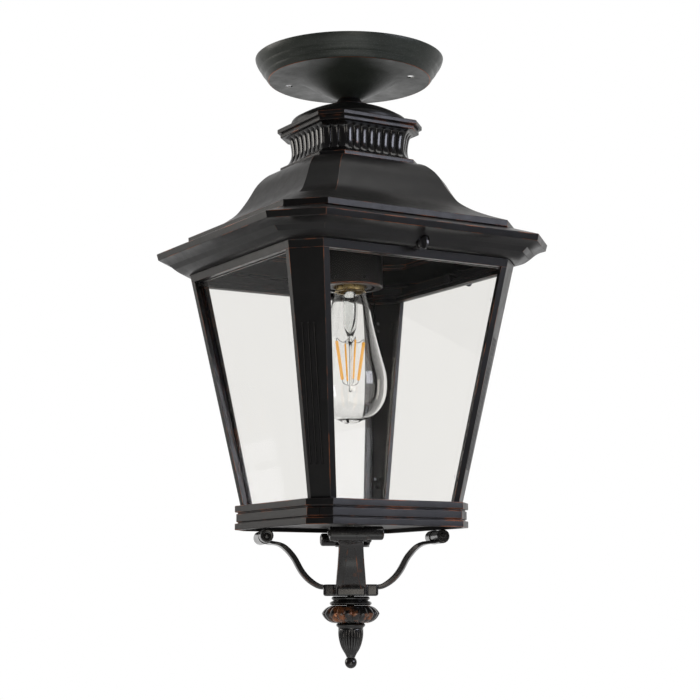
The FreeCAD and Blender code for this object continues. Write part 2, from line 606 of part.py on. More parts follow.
for k in range(4):
    a = math.radians(-100.0 + 90.0 * k)
    ux, uy = math.cos(a), math.sin(a)
    top_p = V(12.7 * ux, 12.7 * uy, -254.6)
    bot_p = V(7.4 * ux, 7.4 * uy, -288.6)
    ax = bot_p - top_p
    sticks.append(Part.makeCylinder(1.5, ax.Length, top_p, ax))
    # support wires: from the stem out to each stick's upper end, and from its lower end in to the axis wire
    an = ax * (1.0 / ax.Length)
    up_a, up_b = V(3.3 * ux, 3.3 * uy, -250.3), top_p - an * 0.4
    w1 = up_b - up_a
    wires.append(Part.makeCylinder(0.35, w1.Length, up_a, w1))
    lo_a, lo_b = bot_p + an * 0.4, V(2.0 * ux, 2.0 * uy, -292.6)
    w2 = lo_b - lo_a
    wires.append(Part.makeCylinder(0.35, w2.Length, lo_a, w2))
leaf(feature("filament_sticks", Part.makeCompound(sticks)), "filament_sticks")
leaf(feature("filament_wires", Part.makeCompound(wires)), "filament_wires")

# ---------------------------------------------------------------- cage
# outer faces of the cage slope in towards the foot
rise = S["band_top"] - S["cornice_bot"]


def cage_half(d):
    return S["foot_half"] + (S["head_half"] - S["foot_half"]) * (S["band_top"] - d) / rise


def cage_long(d):
    return S["foot_long"] + (S["head_long"] - S["foot_long"]) * (S["band_top"] - d) / rise


def frustum(half, long_, top, bot, cut=0.0):
    """Sloping eight-sided solid; half and long_ are functions of the depth."""
    ws = []
    for d in (top, bot):
        a, b = half(d) - cut, long_(d) - cut * 0.4142
        pts = [(a, -b), (a, b), (b, a), (-b, a), (-a, b), (-a, -b), (-b, -a), (b, -a)]
        ws.append(Part.makePolygon([V(x, y, -d) for x, y in pts + pts[:1]]))
    return Part.makeLoft(ws, True, True)


head = frustum(cage_half, cage_long, S["cornice_bot"] + 0.3, S["head_bot"])
head = head.cut(frustum(cage_half, cage_long, S["cornice_bot"] - 1, S["head_bot"] + 1, S["head_thk"]))
fl_half, fl_long = S["lip_half"] - 0.55, S["lip_long"] - 0.45
flange = oct_prism(fl_half, fl_long, S["flange_top"], S["cornice_bot"] + 0.5)
flange = flange.cut(oct_prism(fl_half - S["flange_thk"], fl_long - 0.7, S["flange_top"] - 1, S["cornice_bot"] + 1))
shelf = oct_prism(fl_half, fl_long, S["cornice_bot"] - 1.4, S["cornice_bot"] + 0.4)
shelf = shelf.cut(oct_prism(S["head_half"] - S["head_thk"], S["head_long"] - S["head_thk"] * 0.4142, S["cornice_bot"] - 3, S["cornice_bot"] + 1))
header = head.fuse(flange).fuse(shelf)
for d, off in thumbs.values():
    # round pad inside the flange, which each screw bears on
    header = header.fuse(Part.makeCylinder(4.6, 8.6, d * (fl_half - 9.4) + off + V(0, 0, -S["thumb_dep"]), d))
header = header.removeSplitter()
leaf(feature("cage_header", header), "cage_header")

# corner posts: folded sheet, a broad corner face between two narrow strips, with turned-in returns
corner = {"front_left": 180.0, "front_right": 270.0, "rear_right": 0.0, "rear_left": 90.0}


def post_section(d):
    a, b = cage_half(d), cage_long(d)
    s, dp, tt = S["strip_wid"], S["strip_dep"], S["post_thk"]
    return [(a, b - s), (a, b), (b, a), (b - s, a), (b - s, a - dp), (b - s + tt, a - dp), (b - s + tt, a - tt),
            (b - 0.414 * tt, a - tt), (a - tt, b - 0.414 * tt), (a - tt, b - s + tt), (a - dp, b - s + tt), (a - dp, b - s)]


for name, turn in corner.items():
    ws = []
    for d in (S["head_bot"], S["band_top"]):
        pts = post_section(d)
        ws.append(Part.makePolygon([V(x, y, -d) for x, y in pts + pts[:1]]))
    post = Part.makeLoft(ws, True, True)
    # three shallow flutes run down the corner face
    flutes = []
    for off in (-7.0, -2.0, 3.0):
        ends = []
        for d in (258.0, 368.8):
            k = (cage_half(d) + cage_long(d)) / 2
            ends.append(V(k - off * 0.7071, k + off * 0.7071, -d))
        ax = ends[1] - ends[0]
        flutes.append(Part.makeCylinder(0.85, ax.Length, ends[0], ax))
    for fcut in flutes:
        post = post.cut(fcut)
    post.rotate(V(0, 0, 0), V(0, 0, 1), turn)
    f = doc.addObject("Part::Feature", "post_" + name)
    f.Shape = post
    leaf(f, "post_" + name)

# panes: flat, tapering, resting behind the post returns on the base band's top flange
slope = math.atan2(S["head_half"] - S["foot_half"], rise)
pane_top, pane_bot = S["cornice_bot"] + 1.2, S["band_top"] - 0.3
for name, turn in (("front", 270.0), ("rear", 90.0), ("left", 180.0), ("right", 0.0)):
    pts = []
    back = S["strip_dep"] + S["glass_gap"]
    ws = []
    tk = S["glass_thk"] / math.cos(slope)
    for d in (S["head_bot"] + 0.3, pane_bot):
        a, w = cage_half(d) - back, cage_long(d) - 1.0
        ws.append(Part.makePolygon([V(a, -w, -d), V(a, w, -d), V(a - tk, w, -d), V(a - tk, -w, -d), V(a, -w, -d)]))
    pane = Part.makeLoft(ws, True, True)
    pane.rotate(V(0, 0, 0), V(0, 0, 1), turn)
    leaf(feature("pane_" + name, pane), "pane_" + name)

# pane clips: bent tabs on the posts' inner sides, two to a pane edge
clips = []
for turn in (0.0, 90.0, 180.0, 270.0):
    for d in (222.0, 372.0):
        a, w = cage_half(d) - S["strip_dep"] - S["glass_gap"] - S["glass_thk"] / math.cos(slope) - 0.25, cage_long(d)
        for sgn in (-1, 1):
            tab = Part.makeBox(1.0, 9.0, 10.0, V(a - 1.0, (w - 5.5) if sgn > 0 else -(w - 5.5) - 9.0, -d - 5.0))
            tab.rotate(V(a, 0, -d), V(0, 1, 0), math.degrees(slope))
            tab.rotate(V(0, 0, 0), V(0, 0, 1), turn)
            clips.append(tab)
leaf(feature("pane_clips", Part.makeCompound(clips)), "pane_clips")

# base band: two proud lips, a recessed middle and a top flange under the posts and panes
band = doc.addObject("PartDesign::Body", "base_band")
oct_pad(band, "band_upper_lip", "band_half", "band_long", "band_top", "band_top+lip_ht")
oct_pad(band, "band_middle", "band_half-band_inset", "band_long-0.41*band_inset", "band_top+lip_ht-0.5", "band_bot-lip_ht+0.5")
oct_pad(band, "band_lower_lip", "band_half", "band_long", "band_bot-lip_ht", "band_bot")
oct_cut(band, "band_inside", "band_half-band_wall", "band_long-0.41*band_wall", "band_top+2", "band_bot+1")
oct_cut(band, "band_mouth", "foot_half-12", "foot_long-7", "band_top-1", "band_top+3")
leaf(band, "base_band")

plate = doc.addObject("PartDesign::Body", "bottom_plate")
oct_pad(plate, "plate_sheet", "band_half-band_wall-0.2", "band_long-0.41*band_wall-0.2", "plate_dep-plate_thk", "plate_dep")
hole_cut(plate, "plate_bore", [("0", "0", "rod_rad+0.2")], "plate_dep-plate_thk-1", "plate_dep+1")
leaf(plate, "bottom_plate")
# plate tabs inside the band, with their screws
tabs, tscr = [], []
for turn in (45.0, 135.0, 225.0, 315.0):
    a = (S["band_half"] + S["band_long"]) / math.sqrt(2) - S["band_wall"] - 0.1
    tab = Part.makeBox(10.0, 14.0, 1.6, V(a - 10.0, -7.0, -S["plate_dep"] + S["plate_thk"]))
    up = Part.makeBox(1.6, 14.0, 8.0, V(a - 1.6, -7.0, -S["plate_dep"] + S["plate_thk"]))
    tab = tab.fuse(up)
    tab.rotate(V(0, 0, 0), V(0, 0, 1), turn)
    tabs.append(tab)
    hd = Part.makeCylinder(2.6, 1.3, V(a - 6.0, 0, -S["plate_dep"] - 1.3))
    hd.rotate(V(0, 0, 0), V(0, 0, 1), turn)
    tscr.append(hd)
leaf(feature("plate_tabs", Part.makeCompound(tabs)), "plate_tabs")
leaf(feature("plate_screws", Part.makeCompound(tscr)), "plate_screws")

rod = doc.addObject("Part::Cylinder", "tie_rod")
rod.Radius = S["rod_rad"]
rod.setExpression("Radius", "sheet.rod_rad")
rod.Height = S["rod_bot"] - S["rod_top"]
rod.setExpression("Height", "sheet.rod_bot - sheet.rod_top")
rod.Placement = FreeCAD.Placement(V(0, 0, -S["rod_bot"]), FreeCAD.Rotation())
rod.setExpression("Placement.Base.z", "-sheet.rod_bot")
leaf(rod, "tie_rod")
leaf(hexnut("rod_nut", 10.0, "rod_rad+0.02", "plate_dep-plate_thk-6.2", "plate_dep-plate_thk-1.2"), "rod_nut")
leaf(tube("rod_washer", "8", "rod_rad+0.1", "plate_dep-plate_thk-1.2", "plate_dep-plate_thk"), "rod_washer")

# ---------------------------------------------------------------- scroll spider
hub = Part.makeCylinder(S["hub_rad"], S["hub_bot"] - S["hub_top"], V(0, 0, -S["hub_bot"]))
for turn in (0, 90, 180, 270):
    lug = Part.makeBox(S["lug_reach"], S["arm_wide"], S["hub_bot"] - S["hub_top"], V(0, -S["arm_wide"] / 2, -S["hub_bot"]))
    lug.rotate(V(0, 0, 0), V(0, 0, 1), turn)
    hub = hub.fuse(lug)
hub = hub.cut(Part.makeCylinder(S["rod_rad"] + 0.05, 40, V(0, 0, -S["hub_bot"] - 10)))
hub = hub.removeSplitter()
hub.rotate(V(0, 0, 0), V(0, 0, 1), S["spider_turn"] - 90)
leaf(feature("spider_hub", hub), "spider_hub")

# arm centre line in its own plane: (reach, depth), from the hub lug up to the scroll
arm_line = [(23.85, 467.8), (25.4, 467.6), (30.2, 465.6), (35.8, 461.6), (40.6, 456.5), (44.8, 449.9), (48.2, 443.6), (52.2, 438.4),
            (56.7, 434.0), (61.9, 431.2), (66.6, 430.2), (70.5, 429.6)]
scroll_dep = S["band_bot"] + 0.3 + S["scroll_rad"] - 0.9


def arm_solid():
    n = len(arm_line)
    up, lo = [], []
    for i, (r, d) in enumerate(arm_line):
        r0, d0 = arm_line[max(i - 1, 0)]
        r1, d1 = arm_line[min(i + 1, n - 1)]
        ln = math.hypot(r1 - r0, d1 - d0)
        nx, nz = -(-(d1 - d0)) / ln, (r1 - r0) / ln
        h = S["arm_thk"] / 2 * lerp(i, n - 4, n - 1, 1.0, 0.62)
        up.append(V(r - h * (-(d1 - d0)) / ln, 0, -d + h * (r1 - r0) / ln))
        lo.append(V(r + h * (-(d1 - d0)) / ln, 0, -d - h * (r1 - r0) / ln))
    cu = Part.BSplineCurve()
    cu.interpolate(up)
    cl = Part.BSplineCurve()
    cl.interpolate(lo)
    e1, e2 = cu.toShape(), cl.toShape()
    face = Part.Face(Part.Wire([e1, Part.LineSegment(up[-1], lo[-1]).toShape(), e2, Part.LineSegment(lo[0], up[0]).toShape()]))
    body = face.extrude(V(0, 60, 0))
    body.translate(V(0, -30, 0))
    # plan outline: broad at the hub, narrow at mid reach, flaring again into the scroll
    w0, w1, w2 = S["arm_wide"] / 2, S["arm_narrow"] / 2, S["scroll_wide"] / 2
    side = [V(22.0, w0, 0), V(30.0, w0 - 0.2, 0), V(34.0, w0 - 0.5, 0), V(42.0, w0 - 1.1, 0), V(48.0, w1 + 0.4, 0), V(56.0, w1, 0), V(62.0, w1 + 0.3, 0),
            V(68.0, w2 - 3.0, 0), V(72.0, w2, 0)]
    cs_ = Part.BSplineCurve()
    cs_.interpolate(side)
    cm = Part.BSplineCurve()
    cm.interpolate([V(p.x, -p.y, 0) for p in reversed(side)])
    plan = Part.Face(Part.Wire([cs_.toShape(), Part.LineSegment(side[-1], V(72.0, -w2, 0)).toShape(), cm.toShape(),
                                Part.LineSegment(V(22.0, -w0, 0), side[0]).toShape()]))
    plan.translate(V(0, 0, -500))
    return body.common(plan.extrude(V(0, 0, 100)))


def scroll_solid():
    """Rolled end: a drum with a smaller eye standing out on one side, skewed a little and flat where it bears."""
    w = S["scroll_wide"]
    c = V(S["scroll_reach"], 0, -scroll_dep)
    drum = Part.makeCylinder(S["scroll_rad"], w, c + V(0, -w / 2 - 2.5, 0), V(0, 1, 0))
    eye = Part.makeCylinder(S["eye_rad"], S["eye_wide"] + w, c + V(0, -w / 2 - 2.5, 0), V(0, 1, 0))
    edges = [e for e in eye.Edges if abs(e.Length - 2 * math.pi * S["eye_rad"]) < 0.01]
    eye = eye.makeFillet(1.6, edges)
    out = drum.fuse(eye)
    flat = Part.makeBox(60, 120, 10, V(S["scroll_reach"] - 30, -60, -S["band_bot"] - 0.3))
    out = out.cut(flat)
    out.rotate(c, V(0, 0, 1), 10.0)
    return out


arm_unit = arm_solid().fuse(scroll_solid()).removeSplitter()
for k in range(4):
    s_ = arm_unit.copy()
    s_.rotate(V(0, 0, 0), V(0, 0, 1), S["spider_turn"] - 90 + 90 * k)
    leaf(feature("scroll_arm_%d" % (k + 1), s_), "scroll_arm_%d" % (k + 1))

# ---------------------------------------------------------------- finial
rings = turned("finial_rings", [
    ("rod_rad+0.08", "hub_bot+0.3"), ("15.0", "hub_bot+0.3"), ("16.6", "hub_bot+2.0"), ("15.0", "hub_bot+3.7"),
    ("15.6", "hub_bot+4.3"), ("18.2", "hub_bot+6.2"), ("16.6", "hub_bot+8.0"), ("rod_rad+0.08", "hub_bot+8.0")],
    {1: ("2.4", -1), 2: ("2.4", -1), 4: ("2.7", -1), 5: ("2.7", -1)})
leaf(rings, "finial_rings")
melon = turned("melon_ball", [
    ("rod_rad+0.08", "melon_top+0.9"), ("15.0", "melon_top+0.9"), ("melon_rad", "490.2"), ("12.0", "melon_bot"), ("rod_rad+0.08", "melon_bot")],
    {1: ("11.2", -1), 2: ("12.6", -1)})
leaf(melon, "melon_ball")
fcol = turned("finial_collar", [
    ("0", "melon_bot+0.1"), ("11.4", "melon_bot+0.1"), ("12.5", "melon_bot+1.4"), ("12.4", "melon_bot+2.6"), ("10.9", "melon_bot+3.6"),
    ("10.9", "melon_bot+5.6"), ("0", "melon_bot+5.6")])
leaf(fcol, "finial_collar")
acorn = spun("acorn_spike", [
    ("0", "melon_bot+5.7"), ("10.7", "melon_bot+5.7"), ("9.6", "514.5"), ("6.2", "522.5"), ("3.7", "527.2"), ("0", "527.2")],
    {1: ("30", -1), 2: ("24", -1), 3: ("20", 1)})
leaf(acorn, "acorn_spike")
tipball = spun("tip_ball", [("0", "527.3"), ("3.4", "527.3"), ("3.4", "527.566"), ("0", "536.7")], {2: ("5.2", -1)})
leaf(tipball, "tip_ball")

# ---------------------------------------------------------------- checks and export
doc.recompute()
bad = []
for o in doc.Objects:
    if any(s in ("Invalid", "Error") for s in o.State):
        bad.append((o.Name, list(o.State)))
for o in LEAVES:
    if o.Shape.isNull() or not o.Shape.isValid():
        bad.append((o.Label, "shape"))
if bad:
    raise RuntimeError("failed: %r" % bad)
for o in LEAVES:
    bb = o.Shape.BoundBox
    print("%-22s solids %2d vol %10.1f  x %.1f %.1f  y %.1f %.1f  z %.1f %.1f" % (
        o.Label, len(o.Shape.Solids), o.Shape.Volume, bb.XMin, bb.XMax, bb.YMin, bb.YMax, bb.ZMin, bb.ZMax))
    o.Shape.exportStep("parts/" + o.Label + ".step")
print("nodes", len(LEAVES))
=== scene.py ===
import math

import bpy
import bmesh
import numpy as np
from mathutils import Matrix, Vector


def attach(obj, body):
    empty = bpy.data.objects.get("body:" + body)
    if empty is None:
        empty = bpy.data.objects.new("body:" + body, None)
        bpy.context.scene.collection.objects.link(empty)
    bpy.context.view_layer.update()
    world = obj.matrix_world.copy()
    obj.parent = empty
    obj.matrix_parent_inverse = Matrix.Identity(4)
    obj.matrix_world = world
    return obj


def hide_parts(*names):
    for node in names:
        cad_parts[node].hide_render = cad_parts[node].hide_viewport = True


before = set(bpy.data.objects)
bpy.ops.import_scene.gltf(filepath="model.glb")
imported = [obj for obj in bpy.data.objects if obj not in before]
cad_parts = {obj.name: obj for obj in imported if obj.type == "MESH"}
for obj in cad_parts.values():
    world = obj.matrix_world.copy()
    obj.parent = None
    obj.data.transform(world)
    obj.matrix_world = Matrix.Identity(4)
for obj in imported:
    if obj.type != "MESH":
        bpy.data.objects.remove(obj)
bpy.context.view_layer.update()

# Porch ceiling lantern. Lengths in the helpers are millimetres and turned into metres when a mesh is made.
# Depths are measured down from the ceiling plane. Panes face -Y (front), +Y (rear), -X (left), +X (right).
MM = 0.001
R2 = math.sqrt(0.5)
scene = bpy.context.scene

# ---------------------------------------------------------------- camera
pitch, roll = math.radians(8.19), math.radians(0.154)
fwd = Vector((0.5099 * math.cos(pitch), 0.8602 * math.cos(pitch), math.sin(pitch))).normalized()
right0 = fwd.cross(Vector((0, 0, 1))).normalized()
up0 = right0.cross(fwd).normalized()
right = right0 * math.cos(roll) - up0 * math.sin(roll)
up = right0 * math.sin(roll) + up0 * math.cos(roll)
cam_data = bpy.data.cameras.new("camera")
cam = bpy.data.objects.new("camera", cam_data)
scene.collection.objects.link(cam)
cam.matrix_world = Matrix(((right.x, up.x, -fwd.x, -0.7904), (right.y, up.y, -fwd.y, -1.3334),
                           (right.z, up.z, -fwd.z, -0.4851), (0, 0, 0, 1)))
cam_data.sensor_width = 36.0
cam_data.lens = 91.98
cam_data.clip_start = 0.05
cam_data.clip_end = 60.0
scene.camera = cam
scene.view_settings.view_transform = "Standard"
scene.view_settings.look = "None"


# ---------------------------------------------------------------- materials
def new_mat(name):
    m = bpy.data.materials.new(name)
    m.use_nodes = True
    nt = m.node_tree
    nt.nodes.clear()
    out = nt.nodes.new("ShaderNodeOutputMaterial")
    bsdf = nt.nodes.new("ShaderNodeBsdfPrincipled")
    nt.links.new(bsdf.outputs[0], out.inputs[0])
    tc = nt.nodes.new("ShaderNodeTexCoord")
    return m, nt, bsdf, out, tc


def noise(nt, tc, scale, detail=3.0, rough=0.55, stretch=None):
    n = nt.nodes.new("ShaderNodeTexNoise")
    n.inputs["Scale"].default_value = scale
    n.inputs["Detail"].default_value = detail
    n.inputs["Roughness"].default_value = rough
    if stretch:
        mp = nt.nodes.new("ShaderNodeMapping")
        mp.inputs["Scale"].default_value = stretch
        nt.links.new(tc.outputs["Object"], mp.inputs["Vector"])
        nt.links.new(mp.outputs[0], n.inputs["Vector"])
    else:
        nt.links.new(tc.outputs["Object"], n.inputs["Vector"])
    return n.outputs["Fac"]


def ramp(nt, fac, stops):
    r = nt.nodes.new("ShaderNodeValToRGB")
    while len(r.color_ramp.elements) < len(stops):
        r.color_ramp.elements.new(0.5)
    for e, (pos, col) in zip(r.color_ramp.elements, stops):
        e.position = pos
        e.color = (col[0], col[1], col[2], 1.0) if isinstance(col, (tuple, list)) else (col, col, col, 1.0)
    nt.links.new(fac, r.inputs[0])
    return r.outputs[0]


def remap(nt, fac, lo, hi, a=0.0, b=1.0):
    r = nt.nodes.new("ShaderNodeMapRange")
    r.inputs["From Min"].default_value = a
    r.inputs["From Max"].default_value = b
    r.inputs["To Min"].default_value = lo
    r.inputs["To Max"].default_value = hi
    nt.links.new(fac, r.inputs["Value"])
    return r.outputs[0]


def mixc(nt, fac, a, b):
    m = nt.nodes.new("ShaderNodeMix")
    m.data_type = "RGBA"
    nt.links.new(fac, m.inputs[0])
    for sock, val in ((m.inputs[6], a), (m.inputs[7], b)):
        if isinstance(val, tuple):
            sock.default_value = (*val, 1.0)
        else:
            nt.links.new(val, sock)
    return m.outputs[2]


def bump(nt, bsdf, height, strength, dist):
    b = nt.nodes.new("ShaderNodeBump")
    b.inputs["Strength"].default_value = strength
    b.inputs["Distance"].default_value = dist
    nt.links.new(height, b.inputs["Height"])
    nt.links.new(b.outputs[0], bsdf.inputs["Normal"])
    return b


def paint(name, dark, light, r_lo, r_hi, rub=None, rub_at=(0.55, 0.75), rub_scale=55.0, coat=0.0, cast=0.35, spec=0.5,
          metal=0.0, fleck=(0.62, 0.9)):
    """Dark metallic-flecked paint: mottled tone, fine fleck, rubbed-through copper where rub is given."""
    m, nt, bsdf, out, tc = new_mat(name)
    broad = noise(nt, tc, 28.0, 3.0)
    fine = noise(nt, tc, 1500.0, 2.0, 0.6)
    tone = ramp(nt, broad, [(0.3, dark), (0.72, light)])
    speck = ramp(nt, fine, [(fleck[0], 0.0), (fleck[1], 1.0)])
    col = mixc(nt, speck, tone, tuple(min(1.0, c * 3.2 + 0.02) for c in light))
    if rub:
        n1 = noise(nt, tc, rub_scale, 4.0, 0.62)
        msk = ramp(nt, n1, [(rub_at[0], 0.0), (rub_at[1], 1.0)])
        col = mixc(nt, msk, col, rub)
        nt.links.new(remap(nt, msk, metal, 0.75), bsdf.inputs["Metallic"])
    else:
        bsdf.inputs["Metallic"].default_value = metal
    nt.links.new(col, bsdf.inputs["Base Color"])
    patch = noise(nt, tc, 95.0, 4.0, 0.6)
    nt.links.new(remap(nt, patch, r_lo, r_hi, 0.25, 0.75), bsdf.inputs["Roughness"])
    grain = noise(nt, tc, 620.0, 3.0, 0.55)
    bump(nt, bsdf, grain, cast, 0.00016)
    bsdf.inputs["Specular IOR Level"].default_value = spec
    if coat:
        bsdf.inputs["Coat Weight"].default_value = coat
        bsdf.inputs["Coat Roughness"].default_value = 0.12
    return m


COPPER = (0.31, 0.108, 0.050)
M_BRONZE = paint("bronze_paint", (0.006, 0.0058, 0.006), (0.012, 0.011, 0.011), 0.27, 0.43, coat=0.12, spec=0.36)
M_EDGE = paint("bronze_rubbed_edge", (0.012, 0.010, 0.010), (0.026, 0.022, 0.021), 0.26, 0.42, rub=COPPER, rub_at=(0.48, 0.66), rub_scale=42.0)
M_ROOF = paint("bronze_roof", (0.007, 0.0066, 0.0062), (0.012, 0.011, 0.0105), 0.34, 0.46, coat=0.08, spec=0.36, cast=0.5)
M_CANOPY = paint("canopy_paint", (0.034, 0.040, 0.034), (0.056, 0.063, 0.054), 0.27, 0.44, cast=0.45, spec=0.42, fleck=(0.60, 0.82))
M_CANOPY_EDGE = paint("canopy_edge", (0.04, 0.022, 0.014), (0.06, 0.03, 0.02), 0.3, 0.45, rub=(0.34, 0.11, 0.045), rub_at=(0.32, 0.5), rub_scale=30.0)
M_GLOSS = paint("bronze_gloss", (0.006, 0.0055, 0.0055), (0.012, 0.0105, 0.010), 0.14, 0.26, rub=(0.20, 0.07, 0.03), rub_at=(0.66, 0.8), rub_scale=120.0, coat=0.5, cast=0.25)
M_MELON = paint("bronze_melon", (0.006, 0.0055, 0.0055), (0.013, 0.011, 0.010), 0.14, 0.28, rub=(0.42, 0.15, 0.055), rub_at=(0.53, 0.66), rub_scale=85.0, coat=0.5, cast=0.25)
M_ARM = paint("bronze_arm", (0.0075, 0.007, 0.007), (0.015, 0.0135, 0.013), 0.18, 0.34, rub=(0.16, 0.06, 0.028), rub_at=(0.60, 0.76), rub_scale=48.0, coat=0.4, cast=0.3)
M_SCREW = paint("bronze_screw", (0.018, 0.018, 0.019), (0.042, 0.042, 0.045), 0.22, 0.36, rub=(0.20, 0.07, 0.03), rub_at=(0.66, 0.8), rub_scale=120.0, coat=0.3)
M_INSIDE = paint("bronze_inside", (0.016, 0.0145, 0.013), (0.030, 0.026, 0.023), 0.4, 0.55, cast=0.3)


def metal(name, a, b, r_lo, r_hi, scale=140.0, stretch=None, aniso=0.0):
    m, nt, bsdf, out, tc = new_mat(name)
    n1 = noise(nt, tc, scale, 4.0, 0.6, stretch)
    nt.links.new(ramp(nt, n1, [(0.3, a), (0.7, b)]), bsdf.inputs["Base Color"])
    bsdf.inputs["Metallic"].default_value = 1.0
    n2 = noise(nt, tc, scale * 3.0, 3.0, 0.6, stretch)
    nt.links.new(remap(nt, n2, r_lo, r_hi, 0.3, 0.7), bsdf.inputs["Roughness"])
    bump(nt, bsdf, n2, 0.15, 0.0001)
    return m


M_STEEL = metal("plated_steel", (0.33, 0.33, 0.32), (0.47, 0.46, 0.43), 0.28, 0.44)
M_BRASS = metal("brass_shell", (0.50, 0.36, 0.15), (0.68, 0.52, 0.25), 0.22, 0.38)
M_ZINC = metal("bare_zinc", (0.62, 0.62, 0.61), (0.78, 0.78, 0.77), 0.4, 0.6, 60.0)
M_ZINC.node_tree.nodes["Principled BSDF"].inputs["Metallic"].default_value = 0.15
M_WIRE = metal("lamp_wire", (0.10, 0.09, 0.085), (0.22, 0.20, 0.19), 0.25, 0.4, 600.0)


def plastic(name, a, b, r_lo, r_hi, scale=180.0, strength=0.12):
    m, nt, bsdf, out, tc = new_mat(name)
    n1 = noise(nt, tc, scale, 4.0, 0.6)
    nt.links.new(ramp(nt, n1, [(0.3, a), (0.7, b)]), bsdf.inputs["Base Color"])
    n2 = noise(nt, tc, scale * 4.0, 2.0, 0.5)
    nt.links.new(remap(nt, n2, r_lo, r_hi, 0.3, 0.7), bsdf.inputs["Roughness"])
    bump(nt, bsdf, n2, strength, 0.0001)
    return m, bsdf


M_BLACK, _ = plastic("black_insulator", (0.010, 0.010, 0.010), (0.020, 0.019, 0.019), 0.4, 0.6)
# amber sticks with a painted glow: a faint emission makes them shine as if lit, though the bulb is not burning
M_AMBER_PAINTED_GLOW, amber_painted_glow_bsdf = plastic("amber_filament", (0.80, 0.36, 0.035), (0.95, 0.50, 0.075), 0.35, 0.5, 900.0, 0.3)
amber_painted_glow_bsdf.inputs["Emission Color"].default_value = (0.9, 0.42, 0.05, 1.0)
amber_painted_glow_bsdf.inputs["Emission Strength"].default_value = 0.35


def glass(name, tint, rough, ior, wave_scale, wave, cloud=0.0):
    """Clear glass that lets lamps through; a faint large-scale waviness moves what is seen in it."""
    m, nt, bsdf, out, tc = new_mat(name)
    bsdf.inputs["Transmission Weight"].default_value = 1.0
    bsdf.inputs["IOR"].default_value = ior
    n0 = noise(nt, tc, 9.0, 3.0, 0.5)
    nt.links.new(ramp(nt, n0, [(0.3, tuple(c * (1 - cloud) for c in tint)), (0.7, tint)]), bsdf.inputs["Base Color"])
    if rough:
        n1 = noise(nt, tc, 22.0, 3.0, 0.55)
        nt.links.new(remap(nt, n1, 0.0, rough, 0.45, 0.8), bsdf.inputs["Roughness"])
    else:
        bsdf.inputs["Roughness"].default_value = 0.0
    n2 = noise(nt, tc, wave_scale, 1.0, 0.4)
    bump(nt, bsdf, n2, 0.2, wave)
    lp = nt.nodes.new("ShaderNodeLightPath")
    tr = nt.nodes.new("ShaderNodeBsdfTransparent")
    tr.inputs["Color"].default_value = (0.9, 0.9, 0.89, 1.0)
    mx = nt.nodes.new("ShaderNodeMixShader")
    nt.links.new(lp.outputs["Is Shadow Ray"], mx.inputs[0])
    nt.links.new(bsdf.outputs[0], mx.inputs[1])
    nt.links.new(tr.outputs[0], mx.inputs[2])
    nt.links.new(mx.outputs[0], out.inputs[0])
    return m


M_PANE = glass("pane_glass", (0.918, 0.912, 0.897), 0.02, 1.16, 14.0, 0.0003, 0.012)
M_BULB = glass("bulb_glass", (0.985, 0.985, 0.98), 0.0, 1.47, 60.0, 0.00006, 0.004)
M_STEM = glass("stem_glass", (0.94, 0.95, 0.945), 0.0, 1.5, 160.0, 0.0002, 0.01)

# ---------------------------------------------------------------- geometry helpers


def lerp(x, a, b, fa, fb):
    t = min(1.0, max(0.0, (x - a) / (b - a)))
    return fa + (fb - fa) * t


def smooth_curve(pts, n):
    """n points along the natural cubic through pts."""
    P = np.array(pts, float)
    h = np.maximum(np.linalg.norm(np.diff(P, axis=0), axis=1), 1e-9)
    t = np.concatenate([[0], np.cumsum(h)])
    m = len(P)
    A = np.zeros((m, m))
    B = np.zeros_like(P)
    A[0, 0] = A[-1, -1] = 1
    for i in range(1, m - 1):
        A[i, i - 1], A[i, i], A[i, i + 1] = h[i - 1], 2 * (h[i - 1] + h[i]), h[i]
        B[i] = 6 * ((P[i + 1] - P[i]) / h[i] - (P[i] - P[i - 1]) / h[i - 1])
    M = np.linalg.solve(A, B)
    out = []
    for x in np.linspace(0, t[-1], n):
        i = min(int(np.searchsorted(t, x, side="right")) - 1, m - 2)
        d, hh = x - t[i], h[i]
        a = (P[i + 1] - P[i]) / hh - (2 * M[i] + M[i + 1]) * hh / 6
        out.append(tuple(P[i] + a * d + M[i] / 2 * d ** 2 + (M[i + 1] - M[i]) / (6 * hh) * d ** 3))
    return out


def arcs(pts, bows, n=8):
    """Closed (radius, depth) outline with some edges bowed: bows = {edge: (radius, side)}."""
    out = []
    m = len(pts)
    for i in range(m):
        a = np.array([pts[i][0], -pts[i][1]])
        b = np.array([pts[(i + 1) % m][0], -pts[(i + 1) % m][1]])
        out.append(pts[i])
        if i in bows:
            rad, side = bows[i]
            mid, d = (a + b) / 2, b - a
            ln = float(np.hypot(*d))
            nrm = np.array([-d[1], d[0]]) / ln
            c = mid + nrm * math.sqrt(max(rad * rad - ln * ln / 4, 0)) * side
            a0 = math.atan2(a[1] - c[1], a[0] - c[0])
            a1 = math.atan2(b[1] - c[1], b[0] - c[0])
            while a1 - a0 > math.pi:
                a1 -= 2 * math.pi
            while a1 - a0 < -math.pi:
                a1 += 2 * math.pi
            for k in range(1, n):
                t = a0 + (a1 - a0) * k / n
                out.append((c[0] + rad * math.cos(t), -(c[1] + rad * math.sin(t))))
    return out


